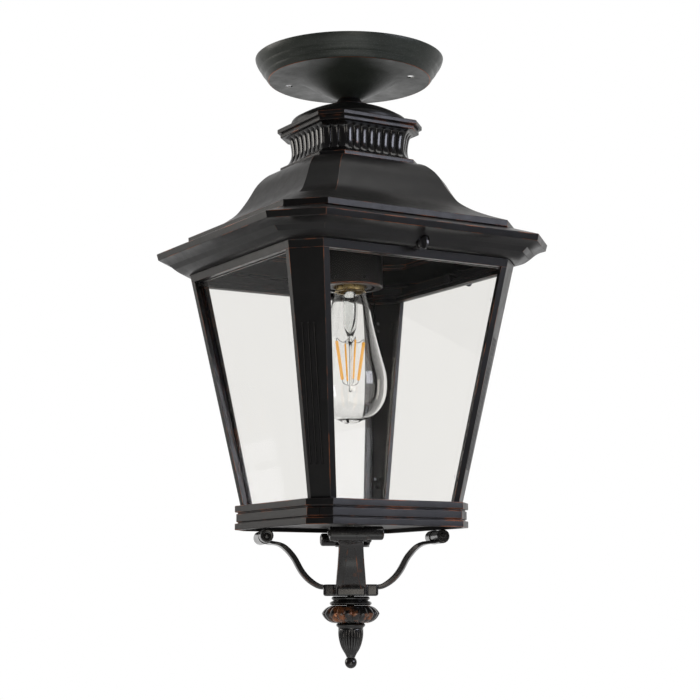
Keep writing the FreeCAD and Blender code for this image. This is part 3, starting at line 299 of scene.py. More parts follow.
class Shell:
    """Vertices and faces in millimetres."""

    def __init__(self):
        self.v, self.f = [], []

    def ring(self, pts):
        i = len(self.v)
        self.v += [tuple(map(float, p)) for p in pts]
        return list(range(i, len(self.v)))

    def skin(self, a, b, closed=True):
        n = len(a)
        for k in range(n if closed else n - 1):
            self.f.append((a[k], a[(k + 1) % n], b[(k + 1) % n], b[k]))

    def cap(self, a):
        self.f.append(tuple(a))

    def fan(self, tip, a):
        n = len(a)
        for k in range(n):
            self.f.append((tip, a[k], a[(k + 1) % n]))

    def join(self, other, fn=None):
        i = len(self.v)
        self.v += [fn(p) if fn else p for p in other.v]
        self.f += [tuple(k + i for k in f) for f in other.f]
        return self

    def moved(self, fn):
        s = Shell()
        s.v, s.f = [tuple(fn(p)) for p in self.v], list(self.f)
        return s


def loft(rings, closed=True, caps=False):
    s = Shell()
    ids = [s.ring(r) for r in rings]
    for a, b in zip(ids, ids[1:]):
        s.skin(a, b)
    if closed:
        s.skin(ids[-1], ids[0])
    elif caps:
        s.cap(ids[0])
        s.cap(list(reversed(ids[-1])))
    return s


def lathe(prof, seg=96, shape=None):
    """Closed (radius, depth) profile turned about Z; shape(angle, radius, depth) may change the radius."""
    s = Shell()
    rings = []
    for r, d in prof:
        if r < 1e-6:
            rings.append(s.ring([(0, 0, -d)]))
        else:
            pts = []
            for k in range(seg):
                t = 2 * math.pi * k / seg
                rr = shape(t, r, d) if shape else r
                pts.append((rr * math.cos(t), rr * math.sin(t), -d))
            rings.append(s.ring(pts))
    m = len(prof)
    for i in range(m):
        A, B = rings[i], rings[(i + 1) % m]
        if len(A) == 1 and len(B) == 1:
            continue
        if len(A) == 1:
            s.fan(A[0], B)
        elif len(B) == 1:
            s.fan(B[0], list(reversed(A)))
        else:
            s.skin(A, B)
    return s


def oct_ring(half, long_, d):
    return [(x, y, -d) for x, y in ((half, -long_), (half, long_), (long_, half), (-long_, half),
                                    (-half, long_), (-half, -long_), (-long_, -half), (long_, -half))]


def octa(prof):
    """Closed (half, long, depth) profile carried round the eight sides."""
    return loft([oct_ring(*p) for p in prof])


def octa_solid(prof):
    return loft([oct_ring(*p) for p in prof], closed=False, caps=True)


def rod(a, b, r, seg=24, r2=None, cap_round=0.0):
    """Cylinder or cone between two points, with softened rims."""
    a, b = Vector(a), Vector(b)
    ax = (b - a).normalized()
    ref = Vector((0, 0, 1)) if abs(ax.z) < 0.9 else Vector((1, 0, 0))
    u = ax.cross(ref).normalized()
    w = ax.cross(u)
    r2 = r if r2 is None else r2
    ln = (b - a).length
    rows = []
    if cap_round:
        for k in range(4):
            t = k / 3 * math.pi / 2
            rows.append((cap_round * (1 - math.sin(t)), r - cap_round * (1 - math.cos(math.pi / 2 - t)) if k == 0 else r - cap_round * (1 - math.sin(t)) * 0.0 - cap_round * (1 - math.sin(t))))
        rows = [(cap_round * (1 - math.cos(t)), r - cap_round * (1 - math.sin(t))) for t in (0, math.pi / 6, math.pi / 3, math.pi / 2)]
        rows += [(ln - cap_round * (1 - math.cos(t)), r2 - cap_round * (1 - math.sin(t))) for t in (math.pi / 2, math.pi / 3, math.pi / 6, 0)]
    else:
        rows = [(0, r), (ln, r2)]
    rings = []
    for h, rr in rows:
        c = a + ax * h
        rings.append([tuple(c + (u * math.cos(2 * math.pi * k / seg) + w * math.sin(2 * math.pi * k / seg)) * rr) for k in range(seg)])
    return loft(rings, closed=False, caps=True)


def pipe(path, r, seg=10):
    """Round wire through the points of path."""
    P = [Vector(p) for p in path]
    rings = []
    u = None
    for i, p in enumerate(P):
        t = (P[min(i + 1, len(P) - 1)] - P[max(i - 1, 0)]).normalized()
        if u is None:
            ref = Vector((0, 0, 1)) if abs(t.z) < 0.9 else Vector((1, 0, 0))
            u = t.cross(ref).normalized()
        u = (u - t * u.dot(t)).normalized()
        w = t.cross(u)
        rings.append([tuple(p + (u * math.cos(2 * math.pi * k / seg) + w * math.sin(2 * math.pi * k / seg)) * r) for k in range(seg)])
    return loft(rings, closed=False, caps=True)


def turn_z(deg):
    c, s = math.cos(math.radians(deg)), math.sin(math.radians(deg))
    return lambda p: (p[0] * c - p[1] * s, p[0] * s + p[1] * c, p[2])


def apply_mods(obj):
    dg = bpy.context.evaluated_depsgraph_get()
    me = bpy.data.meshes.new_from_object(obj.evaluated_get(dg), depsgraph=dg)
    old = obj.data
    obj.modifiers.clear()
    obj.data = me
    bpy.data.meshes.remove(old)


def raw(name, shell, mats=()):
    me = bpy.data.meshes.new(name)
    me.from_pydata([(x * MM, y * MM, z * MM) for x, y, z in shell.v], [], shell.f)
    bm = bmesh.new()
    bm.from_mesh(me)
    bmesh.ops.remove_doubles(bm, verts=bm.verts, dist=2e-7)
    bmesh.ops.dissolve_degenerate(bm, dist=1e-7, edges=bm.edges)
    bmesh.ops.recalc_face_normals(bm, faces=bm.faces)
    bm.to_mesh(me)
    bm.free()
    for m in mats:
        me.materials.append(m)
    obj = bpy.data.objects.new(name, me)
    scene.collection.objects.link(obj)
    return obj


def soften(obj, width, angle=30.0, seg=2, keep=None):
    """Rounds the sharp edges; the new narrow faces take the second material."""
    bm = bmesh.new()
    bm.from_mesh(obj.data)
    lay = bm.edges.layers.float.get("bevel_weight_edge") or bm.edges.layers.float.new("bevel_weight_edge")
    lim = math.radians(angle)
    for e in bm.edges:
        if len(e.link_faces) == 2 and e.calc_face_angle(0.0) > lim:
            if keep is None or keep((e.verts[0].co + e.verts[1].co) * 500.0):
                e[lay] = 1.0
    bm.to_mesh(obj.data)
    bm.free()
    mod = obj.modifiers.new("round", "BEVEL")
    mod.limit_method = "WEIGHT"
    mod.width = width * MM
    mod.segments = seg
    mod.use_clamp_overlap = True
    mod.material = 1 if len(obj.data.materials) > 1 else -1
    apply_mods(obj)
    return obj


def combine(obj, other, how):
    mod = obj.modifiers.new("bool", "BOOLEAN")
    mod.operation = how
    mod.solver = "EXACT"
    mod.object = other
    apply_mods(obj)
    bpy.data.objects.remove(other)
    return obj


def shade(obj, angle=38.0, weighted=True):
    me = obj.data
    me.shade_smooth()
    me.set_sharp_from_angle(angle=math.radians(angle))
    if weighted:
        mod = obj.modifiers.new("normals", "WEIGHTED_NORMAL")
        mod.keep_sharp = True
        mod.weight = 60
        apply_mods(obj)
    return obj


def place(obj, body, nodes):
    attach(obj, body)
    if nodes:
        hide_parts(*nodes)
    return obj


def piece(name, shell, body, nodes, mats, bevel=0.0, seg=2, angle=30.0, sharp=38.0, keep=None, weighted=True):
    obj = raw(name, shell, mats)
    if bevel:
        soften(obj, bevel, angle, seg, keep)
    shade(obj, sharp, weighted)
    return place(obj, body, nodes)


# ---------------------------------------------------------------- ceiling canopy
can = arcs([(84.0, 0.0), (79.6, 8.6), (75.7, 14.0), (72.2, 19.2), (43.0, 19.2), (11.5, 36.2), (5.2, 36.2), (5.2, 34.8), (10.9, 34.8),
            (42.4, 18.0), (70.7, 18.0), (74.2, 13.6), (78.1, 8.2), (82.5, 0.0)], {0: (17, -1), 1: (11, -1), 2: (11, -1)}, 10)
o = raw("canopy", lathe(can, 144), (M_CANOPY, M_CANOPY_EDGE, M_ZINC))
soften(o, 0.45, 24.0, 2, lambda c: abs(-c.z - 19.2) < 0.5 and math.hypot(c.x, c.y) > 70)
for sx in (1, -1):
    q = 112.0 * 0.353553 * sx
    combine(o, raw("cut", rod((q, -q, -25), (q, -q, -12), 3.4, 40)), "DIFFERENCE")
for f in o.data.polygons:
    c = f.center
    away = (f.normal.x * c.x + f.normal.y * c.y) / max(math.hypot(c.x, c.y), 1e-6)
    if f.normal.z > -0.2 and away < 0.05 and c.z < -0.0002 and f.material_index == 0:
        f.material_index = 2
shade(o, 34.0)
place(o, "fixture", ["ceiling_canopy"])

piece("stem_collar_piece", lathe(arcs([(9.8, 36.4), (19.2, 42.8), (19.2, 44.0), (5.1, 44.0), (5.1, 36.4)], {0: (14, 1)}, 8), 96),
      "fixture", ["stem_collar"], (M_BRONZE, M_EDGE), bevel=0.3)
piece("dome", lathe(arcs([(19.8, 44.0), (49.0, 56.0), (52.2, 60.2), (52.2, 62.1), (50.2, 62.1), (47.4, 57.6), (19.2, 45.6), (5.1, 45.6), (5.1, 44.0)],
                         {0: (95, -1), 1: (5, -1), 5: (93, 1)}, 10), 128),
      "fixture", ["cap_dome"], (M_ROOF, M_EDGE), bevel=0.3)

# crown cap: fascia over a quirk and a second fillet
crown = [(5.1, 2.1, 62.1), (52.5, 36.4, 62.1), (53.1, 36.7, 62.7), (53.1, 36.7, 65.6), (52.6, 36.4, 66.2), (50.2, 34.7, 66.2), (50.2, 34.7, 66.8),
         (50.9, 35.1, 67.2), (50.9, 35.1, 69.8), (50.4, 34.8, 70.3), (30.0, 12.4, 70.3), (30.0, 12.4, 63.9), (5.1, 2.1, 63.9)]
piece("crown", octa(crown), "fixture", ["crown_cap"], (M_BRONZE, M_EDGE), bevel=0.32, angle=28.0)

# neck: upright reeds on a hollow curve
neck_half = [(47.2, 70.3), (45.7, 72.6), (44.4, 77.5), (43.8, 83.5), (43.9, 88.5), (44.8, 92.6), (46.4, 95.6), (48.2, 97.4)]
NECK_LEG = 15.0


def neck_ring(h, d, amp, wall=0.0, leg=NECK_LEG):
    pts = []
    g = (2 * h - leg) / math.sqrt(2)
    for face in range(8):
        diag = face % 2
        dist = g if diag else h
        span = (leg / math.sqrt(2)) if diag else (h - leg)
        count = 3 if diag else 8
        az = math.radians(face * 45.0)
        n, t = (math.cos(az), math.sin(az)), (-math.sin(az), math.cos(az))
        for k in range(count):
            for j in range(9):
                x = -math.cos(math.pi * j / 9)
                u = -span + 2 * span * (k + (x + 1) / 2) / count
                o_ = amp * (1 - math.sqrt(max(0.0, 1 - x * x)))
                if k == 0 and j == 0:
                    o_ = amp * 0.45
                pts.append((n[0] * (dist - o_ - wall) + t[0] * (u - (0.414 * o_ * math.copysign(1, u) if (k == 0 and j == 0) else 0)),
                            n[1] * (dist - o_ - wall) + t[1] * (u - (0.414 * o_ * math.copysign(1, u) if (k == 0 and j == 0) else 0)), -d))
    return pts


rows = smooth_curve(neck_half, 30)
rings = []
for h, d in rows:
    amp = 1.55 * min(1.0, max(0.0, (d - 71.2) / 2.2)) ** 0.5 * lerp(d, 88.5, 95.8, 1.0, 0.12)
    rings.append(neck_ring(h, d, amp))
for h, d in reversed(rows[::3] if (len(rows) - 1) % 3 == 0 else rows[::3] + rows[-1:]):
    rings.append(neck_ring(h - 2.0, d, 0.0, 0.0, 14.4))
piece("neck", loft(rings), "fixture", ["fluted_neck"], (M_GLOSS,), sharp=50.0, weighted=False)

plinth = [(36.0, 14.9, 97.4), (50.5, 34.7, 97.4), (51.0, 35.0, 97.9), (51.0, 35.0, 100.9), (36.0, 14.9, 100.9)]
piece("plinth", octa(plinth), "fixture", ["neck_plinth"], (M_BRONZE, M_EDGE), bevel=0.3)

# ---------------------------------------------------------------- roof
roof_half = [(50.6, 100.9), (57.9, 103.3), (63.2, 107.7), (67.2, 112.8), (70.6, 119.4), (74.1, 126.6), (77.9, 133.2), (81.7, 138.7), (86.4, 143.0),
             (91.3, 146.6), (97.6, 150.2), (103.6, 153.2), (109.7, 155.8), (115.2, 158.0)]


def roof_leg(a):
    return lerp(a, 50.6, 115.2, 16.0, 26.6)


outer = smooth_curve(roof_half, 44)
prof = [(a, a - roof_leg(a), d) for a, d in outer]
prof += [(115.2, 88.6, 158.5), (114.9, 88.3, 163.1), (114.6, 88.1, 163.6), (113.1, 87.2, 163.6), (112.9, 87.1, 160.4)]
inner = []
for i in range(len(outer)):
    (r0, d0), (r1, d1) = outer[max(i - 1, 0)], outer[min(i + 1, len(outer) - 1)]
    ln = math.hypot(r1 - r0, d1 - d0)
    inner.append((outer[i][0] - 1.8 * (d1 - d0) / ln, outer[i][1] + 1.8 * (r1 - r0) / ln))
inner = [p for p in inner if 50.0 < p[0] < 112.2]
for a, d in reversed(inner[::2]):
    prof.append((a, a - roof_leg(a) + 0.5, d))
prof += [(36.0, 14.9, 102.6), (36.0, 14.9, 100.9)]
piece("roof", octa(prof), "fixture", ["ogee_roof"], (M_ROOF, M_EDGE), bevel=0.3, angle=26.0, sharp=34.0)

# ---------------------------------------------------------------- cornice
corn_half = [(115.2 - 2.2, 163.6), (139.0, 172.7)]
soffit = smooth_curve([(137.6, 178.4), (132.8, 180.0), (129.4, 182.0), (125.7, 185.3), (121.9, 188.3), (118.2, 190.4), (114.4, 191.2)], 22)


def corn_long(a):
    return a - lerp(a, 112.5, 139.0, 20.9, 35.3)


prof = [(110.6, corn_long(112.5) - 1.9, 163.6), (113.0, corn_long(113.0), 163.6), (138.6, corn_long(138.6), 172.55), (139.0, corn_long(139.0), 173.0), (137.75, corn_long(137.8), 177.9)]
prof += [(a, corn_long(a), d) for a, d in soffit]
outline_solid = list(prof)
prof += [(112.5, 91.6, 191.2), (112.5, 91.6, 183.5), (114.4, 92.4, 183.5), (114.5, 92.5, 188.9), (117.6, corn_long(117.6), 188.2), (120.6, corn_long(120.6), 186.6),
         (124.3, corn_long(124.3) + 0.2, 183.7), (128.0, corn_long(128.0) + 0.2, 180.4), (131.8, corn_long(131.8) + 0.2, 178.2), (135.8, corn_long(135.8), 176.9),
         (136.6, corn_long(136.6), 174.0), (110.6, corn_long(112.5) - 1.9, 165.4)]
o = raw("cornice_piece", octa(prof), (M_BRONZE, M_EDGE))
soften(o, 0.34, 28.0, 2)
D_SCREW = 189.0
screws = {"front": (Vector((0, -1, 0)), Vector((-3.4, 0, 0))), "rear": (Vector((0, 1, 0)), Vector((3.4, 0, 0))), "right": (Vector((1, 0, 0)), Vector((0, 0, 0)))}
for d, off in screws.values():
    base = off + Vector((0, 0, -D_SCREW))
    pad = raw("pad", rod(base + d * 112.5, base + d * 129.5, 9.0, 48))
    combine(pad, raw("whole", octa_solid([(112.4, 91.5, 191.19)] + [(a, b, c) for a, b, c in reversed(outline_solid)])), "INTERSECT")
    combine(o, pad, "UNION")
    combine(o, raw("boss", rod(base + d * 112.5, base + d * 120.0, 4.2, 40, cap_round=0.4)), "UNION")
for d, off in screws.values():
    base = off + Vector((0, 0, -D_SCREW))
    combine(o, raw("spot", rod(base + d * 120.5, base + d * 150.5, 6.3, 48)), "DIFFERENCE")
    combine(o, raw("bore", rod(base + d * 110.0, base + d * 124.0, 2.55, 32)), "DIFFERENCE")
shade(o, 36.0)
place(o, "fixture", ["cornice"])

# clamping screws: collar and a waisted upright spade on a plain shank
for side, (d, off) in screws.items():
    tip = d * (112.5 - 0.25) + off + Vector((0, 0, -D_SCREW))
    across = Vector((-d.y, d.x, 0))
    o = raw("screw_" + side, rod(tip, tip + d * 11.6, 2.48, 32, cap_round=0.35), (M_SCREW, M_STEEL))
    combine(o, raw("neck", rod(tip + d * 8.6, tip + d * 10.8, 3.6, 40, cap_round=0.5)), "UNION")
    s = Shell()
    rows = []
    for k in range(13):
        t = k / 12.0
        y = 10.2 + 8.4 * t
        half = 5.4 * math.sqrt(max(0.0, 1 - max(0.0, (t - 0.62) / 0.38) ** 2.4)) * (0.62 + 0.38 * min(1.0, t / 0.45) ** 0.8)
        half = max(half, 1.2)
        thick = lerp(t, 0.0, 1.0, 1.3, 0.95)
        ring = []
        for q in range(24):
            ang = 2 * math.pi * q / 24
            cu, cz = math.cos(ang), math.sin(ang)
            ring.append(tip + d * y + across * (thick * math.copysign(abs(cu) ** 0.35, cu)) + Vector((0, 0, half * math.copysign(abs(cz) ** 0.55, cz))))
        rows.append(ring)
    combine(o, raw("spade", loft(rows, closed=False, caps=True)), "UNION")
    shade(o, 40.0)
    place(o, side + "_screw", ["thumb_screw_" + side])

# ---------------------------------------------------------------- lampholder cup
cup = arcs([(5.2, 150.2), (22.6, 150.2), (28.6, 158.0), (28.6, 206.3), (27.6, 207.3), (22.5, 207.3), (22.5, 205.8), (27.2, 205.8), (27.2, 159.0),
            (21.6, 152.0), (5.2, 152.0)], {1: (9, -1)}, 8)
piece("cup", lathe(cup, 128), "fixture", ["socket_cup"], (M_BRONZE, M_EDGE), bevel=0.25, sharp=34.0)

# ---------------------------------------------------------------- bulb
bulb_pts = [(13.2, 211.0), (14.6, 214.5), (16.4, 221.0), (19.4, 236.0), (23.6, 254.0), (28.4, 272.0), (31.4, 284.0), (32.0, 293.5), (30.6, 304.0),
            (26.0, 313.6), (18.4, 320.6), (9.6, 323.9), (0.0, 324.6)]
out_c = smooth_curve(bulb_pts, 90)
wall = []
for i in range(len(out_c)):
    (r0, d0), (r1, d1) = out_c[max(i - 1, 0)], out_c[min(i + 1, len(out_c) - 1)]
    ln = math.hypot(r1 - r0, d1 - d0)
    th = lerp(out_c[i][1], 250.0, 318.0, 0.75, 0.95)
    wall.append((max(0.0, out_c[i][0] - th * (d1 - d0) / ln), out_c[i][1] + th * (r1 - r0) / ln))
wall[0] = (wall[0][0], 211.0)
wall[-1] = (0.0, out_c[-1][1] - 0.95)
out_c = [(r, d + (2.6 * (1 - (r / 9.5) ** 2) ** 0.8 if r < 9.5 and d > 300 else 0.0)) for r, d in out_c]
out_c[-1] = (0.0, out_c[-1][1])
piece("bulb_envelope", lathe(out_c + list(reversed(wall)), 144), "bulb", ["bulb_glass"], (M_BULB,), sharp=60.0, weighted=False)

stem = [(4.7, 211.2), (6.3, 215.0), (6.6, 220.0), (6.4, 230.0), (6.0, 238.0), (5.2, 243.0), (4.0, 246.4), (2.9, 249.0), (2.4, 251.6), (2.9, 253.4), (2.3, 255.2), (1.5, 256.2),
        (1.4, 262.0), (1.4, 293.0), (2.0, 295.6), (1.5, 298.2), (0.0, 299.4), (0.0, 247.4), (1.8, 245.4), (3.9, 241.0), (5.0, 236.0), (5.5, 229.0), (5.7, 220.0), (5.4, 215.6), (3.9, 211.2)]
piece("stem", lathe(stem, 64), "bulb", ["bulb_stem"], (M_STEM,), sharp=70.0, weighted=False)

sticks, wires = Shell(), Shell()
for k in range(4):
    a = math.radians(-100.0 + 90.0 * k)
    ux, uy = math.cos(a), math.sin(a)
    rad, tan = Vector((ux, uy, 0)), Vector((-uy, ux, 0))
    top_p, bot_p = Vector((12.7 * ux, 12.7 * uy, -254.6)), Vector((7.4 * ux, 7.4 * uy, -288.6))
    ax = (bot_p - top_p).normalized()
    rr = (rad - ax * rad.dot(ax)).normalized()
    rows = []
    for t, f in ((0.0, 0.55), (0.012, 0.85), (0.03, 1.0), (0.97, 1.0), (0.988, 0.85), (1.0, 0.55)):
        c = top_p.lerp(bot_p, t)
        rows.append([tuple(c + rr * (1.42 * f * math.cos(q)) + tan * (0.72 * f * math.sin(q))) for q in [2 * math.pi * j / 20 for j in range(20)]])
    sticks.join(loft(rows, closed=False, caps=True))
    wires.join(pipe(smooth_curve([tuple(Vector((1.9 * ux, 1.9 * uy, -252.0))), tuple(Vector((5.2 * ux, 5.2 * uy, -255.2))), tuple(Vector((9.4 * ux, 9.4 * uy, -254.6))),
                                  tuple(top_p + rad * 0.1 + Vector((0, 0, 2.4))), tuple(top_p + ax * 0.6)], 16), 0.26, 8))
    wires.join(pipe(smooth_curve([tuple(bot_p - ax * 0.6), tuple(bot_p + ax * 2.2), tuple(Vector((5.0 * ux, 5.0 * uy, -292.4))), tuple(Vector((1.5 * ux, 1.5 * uy, -293.4)))], 12), 0.26, 8))
piece("sticks", sticks, "bulb", ["filament_sticks"], (M_AMBER_PAINTED_GLOW,), sharp=50.0)
piece("wires", wires, "bulb", ["filament_wires"], (M_WIRE,), sharp=60.0)

# ---------------------------------------------------------------- cage


def cage_half(d):
    return 74.6 + 0.18116 * (397.1 - d)


def cage_long(d):
    return 62.8 + 0.13696 * (397.1 - d)


h0, h1, HL = 191.5, 196.6, 198.0
head = [(110.35, 90.45, 183.3), (111.95, 91.15, 183.3), (111.95, 91.15, h0), (cage_half(h0 + 0.3), cage_long(h0 + 0.3), h0 + 0.3), (cage_half(HL), cage_long(HL), HL),
        (cage_half(HL) - 4.2, cage_long(HL) - 1.74, HL), (cage_half(h1) - 4.2, cage_long(h1) - 1.74, h1), (cage_half(h1) - 7.8, cage_long(h1) - 3.23, h1), (cage_half(HL) - 7.8, cage_long(HL) - 3.23, HL),
        (cage_half(HL) - 9.2, cage_long(HL) - 3.81, HL), (cage_half(194.0) - 9.2, cage_long(194.0) - 3.81, 194.0), (cage_half(h0) - 6.0, cage_long(h0) - 2.485, h0), (105.9, 88.5, 189.8), (110.35, 90.45, 189.8)]
o = raw("header", octa(head), (M_BRONZE, M_EDGE))
soften(o, 0.3, 28.0, 2)
for d, off in screws.values():
    base = off + Vector((0, 0, -D_SCREW))
    combine(o, raw("pad", rod(base + d * 102.55, base + d * 111.15, 4.6, 48, cap_round=0.5)), "UNION")
shade(o, 36.0)
place(o, "cage", ["cage_header"])

# corner posts: folded section, three round-ended flutes down the corner face
FL_TOP, FL_BOT, FL_R, FL_D = 258.0, 368.8, 1.05, 0.85
FL_OFF = (-7.0, -2.0, 3.0)
depths = sorted(set([HL, 397.1] + [FL_TOP - FL_R + FL_R * f for f in (0.0, 0.15, 0.4, 0.7, 1.0)] + [FL_BOT + FL_R * f for f in (0.0, 0.3, 0.6, 0.85, 1.0)]
                    + [FL_TOP + (FL_BOT - FL_TOP) * f / 8 for f in range(9)] + [215.0, 236.0, 250.0, 376.0, 386.0]))
cols = []
for off in FL_OFF:
    cols += [off + FL_R * f for f in (-1.0, -0.86, -0.6, -0.3, 0.0, 0.3, 0.6, 0.86, 1.0)]
cols.sort()


def flute(u, d):
    for off in FL_OFF:
        dz = max(0.0, FL_TOP - d, d - FL_BOT)
        q = math.hypot(u - off, dz) / FL_R
        if q < 1.0:
            return FL_D * math.sqrt(1 - q * q) ** 1.0
    return 0.0


post_rings = []
for d in depths:
    a, b = cage_half(d), cage_long(d)
    s_, dp, tt = 5.6, 4.2, 1.6
    k = (a + b) / 2
    pts = [(a - dp, b - s_), (a, b - s_), (a, b)]
    for u in cols:
        o_ = flute(u, d)
        pts.append((k - o_ * R2 - u * R2, k - o_ * R2 + u * R2))
    pts += [(b, a), (b - s_, a), (b - s_, a - dp), (b - s_ + tt, a - dp), (b - s_ + tt, a - tt), (b - 0.414 * tt, a - tt), (a - tt, b - 0.414 * tt), (a - tt, b - s_ + tt), (a - dp, b - s_ + tt)]
    post_rings.append([(x, y, -d) for x, y in pts])
post_shell = loft(post_rings, closed=False, caps=True)
for name, deg in (("front_left", 180.0), ("front_right", 270.0), ("rear_right", 0.0), ("rear_left", 90.0)):
    sh = post_shell.moved(turn_z(deg))

    def plain(c, deg=deg):
        x, y, z = turn_z(-deg)((c.x, c.y, c.z))
        u = (y - x) * R2
        return not (abs(u) < 8.2 and FL_TOP - 3 < -z < FL_BOT + 3 and (x + y) * R2 > (cage_half(-z) + cage_long(-z)) * R2 - 1.2)
    piece("corner_" + name, sh, "cage", ["post_" + name], (M_BRONZE, M_EDGE), bevel=0.34, angle=28.0, sharp=36.0, keep=plain)

# base band: two lips and a middle, parted by narrow quirks
bi = 0.41
band = [(62.6, 55.8, 397.1), (79.3, 63.2, 397.1), (79.7, 63.4, 397.5), (79.7, 63.4, 402.6), (79.3, 63.2, 403.0), (77.2, 62.4, 403.1), (77.2, 62.4, 404.0),
        (78.1, 62.7, 404.2), (78.5, 62.9, 404.6), (78.5, 62.9, 411.0), (78.1, 62.7, 411.4), (77.2, 62.4, 411.6), (77.2, 62.4, 412.4), (79.3, 63.2, 412.6),
        (79.7, 63.4, 413.0), (79.7, 63.4, 417.9), (79.3, 63.2, 418.3), (76.5, 62.1, 418.3), (76.5, 62.1, 399.1), (62.6, 55.8, 399.1)]
o = raw("band", octa(band), (M_BRONZE, M_EDGE))
soften(o, 0.26, 28.0, 2)
for deg in (45, 135, 225, 315):
    g = (78.5 + 62.9) * R2
    c = raw("seam", loft([[(g - 1.1, -0.28, z), (g + 1.5, -0.28, z), (g + 1.5, 0.28, z), (g - 1.1, 0.28, z)] for z in (-404.3, -411.3)], closed=False, caps=True).moved(turn_z(deg)))
    combine(o, c, "DIFFERENCE")
shade(o, 36.0)
place(o, "cage", ["base_band"])

# ---------------------------------------------------------------- foot ornament
SPIN = -30.0
HUB_TOP, HUB_BOT = 465.6, 475.4
W_LUG, REACH = 12.8, 23.5


def hub_outline(grow=0.0):
    pts = []
    for q in range(4):
        a = math.radians(90 * q)
        ca, sa = math.cos(a), math.sin(a)
        r, w = REACH + grow, W_LUG + grow
        loc = []
        for t in np.linspace(-90, 0, 6):
            loc.append((r - 2.2 + 2.2 * math.cos(math.radians(t)), -w + 2.2 + 2.2 * math.sin(math.radians(t))))
        for t in np.linspace(0, 90, 6):
            loc.append((r - 2.2 + 2.2 * math.cos(math.radians(t)), w - 2.2 + 2.2 * math.sin(math.radians(t))))
        for t in np.linspace(270, 180, 6):
            loc.append((w + 2.6 + 2.6 * math.cos(math.radians(t)), w + 2.6 + 2.6 * math.sin(math.radians(t))))
        pts += [(x * ca - y * sa, x * sa + y * ca) for x, y in loc]
    return pts


rows = []
for d, g in ((HUB_TOP, -1.0), (HUB_TOP + 0.35, -0.3), (HUB_TOP + 1.0, 0.0), (HUB_BOT - 1.6, 0.0), (HUB_BOT - 0.6, -0.45), (HUB_BOT, -1.5)):
    rows.append([(x, y, -d) for x, y in hub_outline(g)])
o = raw("hub", loft(rows, closed=False, caps=True).moved(turn_z(SPIN - 90)), (M_ARM, M_EDGE))
combine(o, raw("bore", rod((0, 0, -480), (0, 0, -460), 3.05, 32)), "DIFFERENCE")
shade(o, 36.0)
place(o, "spider", ["spider_hub"])

arm_line = [(23.6, 467.8), (25.4, 467.6), (30.2, 465.6), (35.8, 461.6), (40.6, 456.5), (44.8, 449.9), (48.2, 443.6), (52.2, 438.4), (56.7, 434.0), (61.9, 431.2), (66.6, 430.2), (70.5, 429.6)]
SC = Vector((75.5, 0.0, -424.6))
curve = smooth_curve(arm_line, 40)
widths = smooth_curve([(22, 12.7), (30, 12.6), (36, 12.2), (42, 11.6), (48, 10.7), (54, 10.2), (60, 10.3), (65, 11.8), (69, 14.4), (72, 15.4)], 60)


def arm_w(r):
    return float(np.interp(r, [p[0] for p in widths], [p[1] for p in widths]))


line = [(r, -d) for r, d in curve if r < 70.2]
n_arm = len(line)
# the strip runs on round the drum and closes up as a spiral
spiral = []
a_start = math.atan2(line[-1][1] - SC.z, line[-1][0] - SC.x)
for k in range(1, 46):
    t = k / 45.0
    ang = a_start + t * math.radians(610)
    rad = 5.75 - 4.3 * t
    spiral.append((SC.x + rad * math.cos(ang), SC.z + rad * math.sin(ang)))
path = line + spiral
arm = Shell()
rings = []
for i, (r, z) in enumerate(path):
    (r0, z0), (r1, z1) = path[max(i - 1, 0)], path[min(i + 1, len(path) - 1)]
    ln = math.hypot(r1 - r0, z1 - z0)
    nx, nz = (z1 - z0) / ln, -(r1 - r0) / ln
    if i < n_arm:
        h = (2.1 + 0.7 * math.sin(math.pi * min(1.0, max(0.0, (r - 25.0) / 40.0)))) * lerp(i, n_arm - 9, n_arm, 1.0, 0.58)
        w = arm_w(r)
        ridge = lerp(r, 25.0, 64.0, 8.6, 0.6)
        drop = 1.25 * lerp(r, 60.0, 69.0, 1.0, 0.0)
    else:
        t = (i - n_arm) / len(spiral)
        h = lerp(t, 0.0, 1.0, 1.2, 0.7)
        w = 15.6 + min(1.0, t * 9) * 0.4
        ridge, drop = 6.0, 0.0
    cy = lerp(i, n_arm - 8, n_arm + 3, 0.0, -2.5)
    sec = [(w - 0.9, -h), (w, -h + 0.8), (w, h - drop - 0.7), (w - 0.7, h - drop), (ridge + 0.8, h - 0.10), (ridge, h), (ridge - 0.9 if ridge > 1 else 0.0, h - 0.02),
           (-ridge + 0.9 if ridge > 1 else 0.0, h - 0.02), (-ridge, h), (-ridge - 0.8, h - 0.10), (-w + 0.7, h - drop), (-w, h - drop - 0.7), (-w, -h + 0.8), (-w + 0.9, -h)]
    rings.append([(r + nx * q, y + cy, z + nz * q) for y, q in sec])
arm = loft(rings, closed=False, caps=True)
unit = raw("arm_unit", arm, (M_ARM, M_EDGE))
for f in unit.data.polygons:
    if f.index < 14 * (sum(1 for p in line if p[0] < 58.0) - 1) and f.index % 14 in (2, 4, 8, 10):
        f.material_index = 1


def about_y(shell, cx, cz):
    """A shape turned about Z, laid over so that its axis is Y through (cx, cz); its depth runs along +Y."""
    return shell.moved(lambda p: (cx + p[0], -p[2], cz + p[1]))


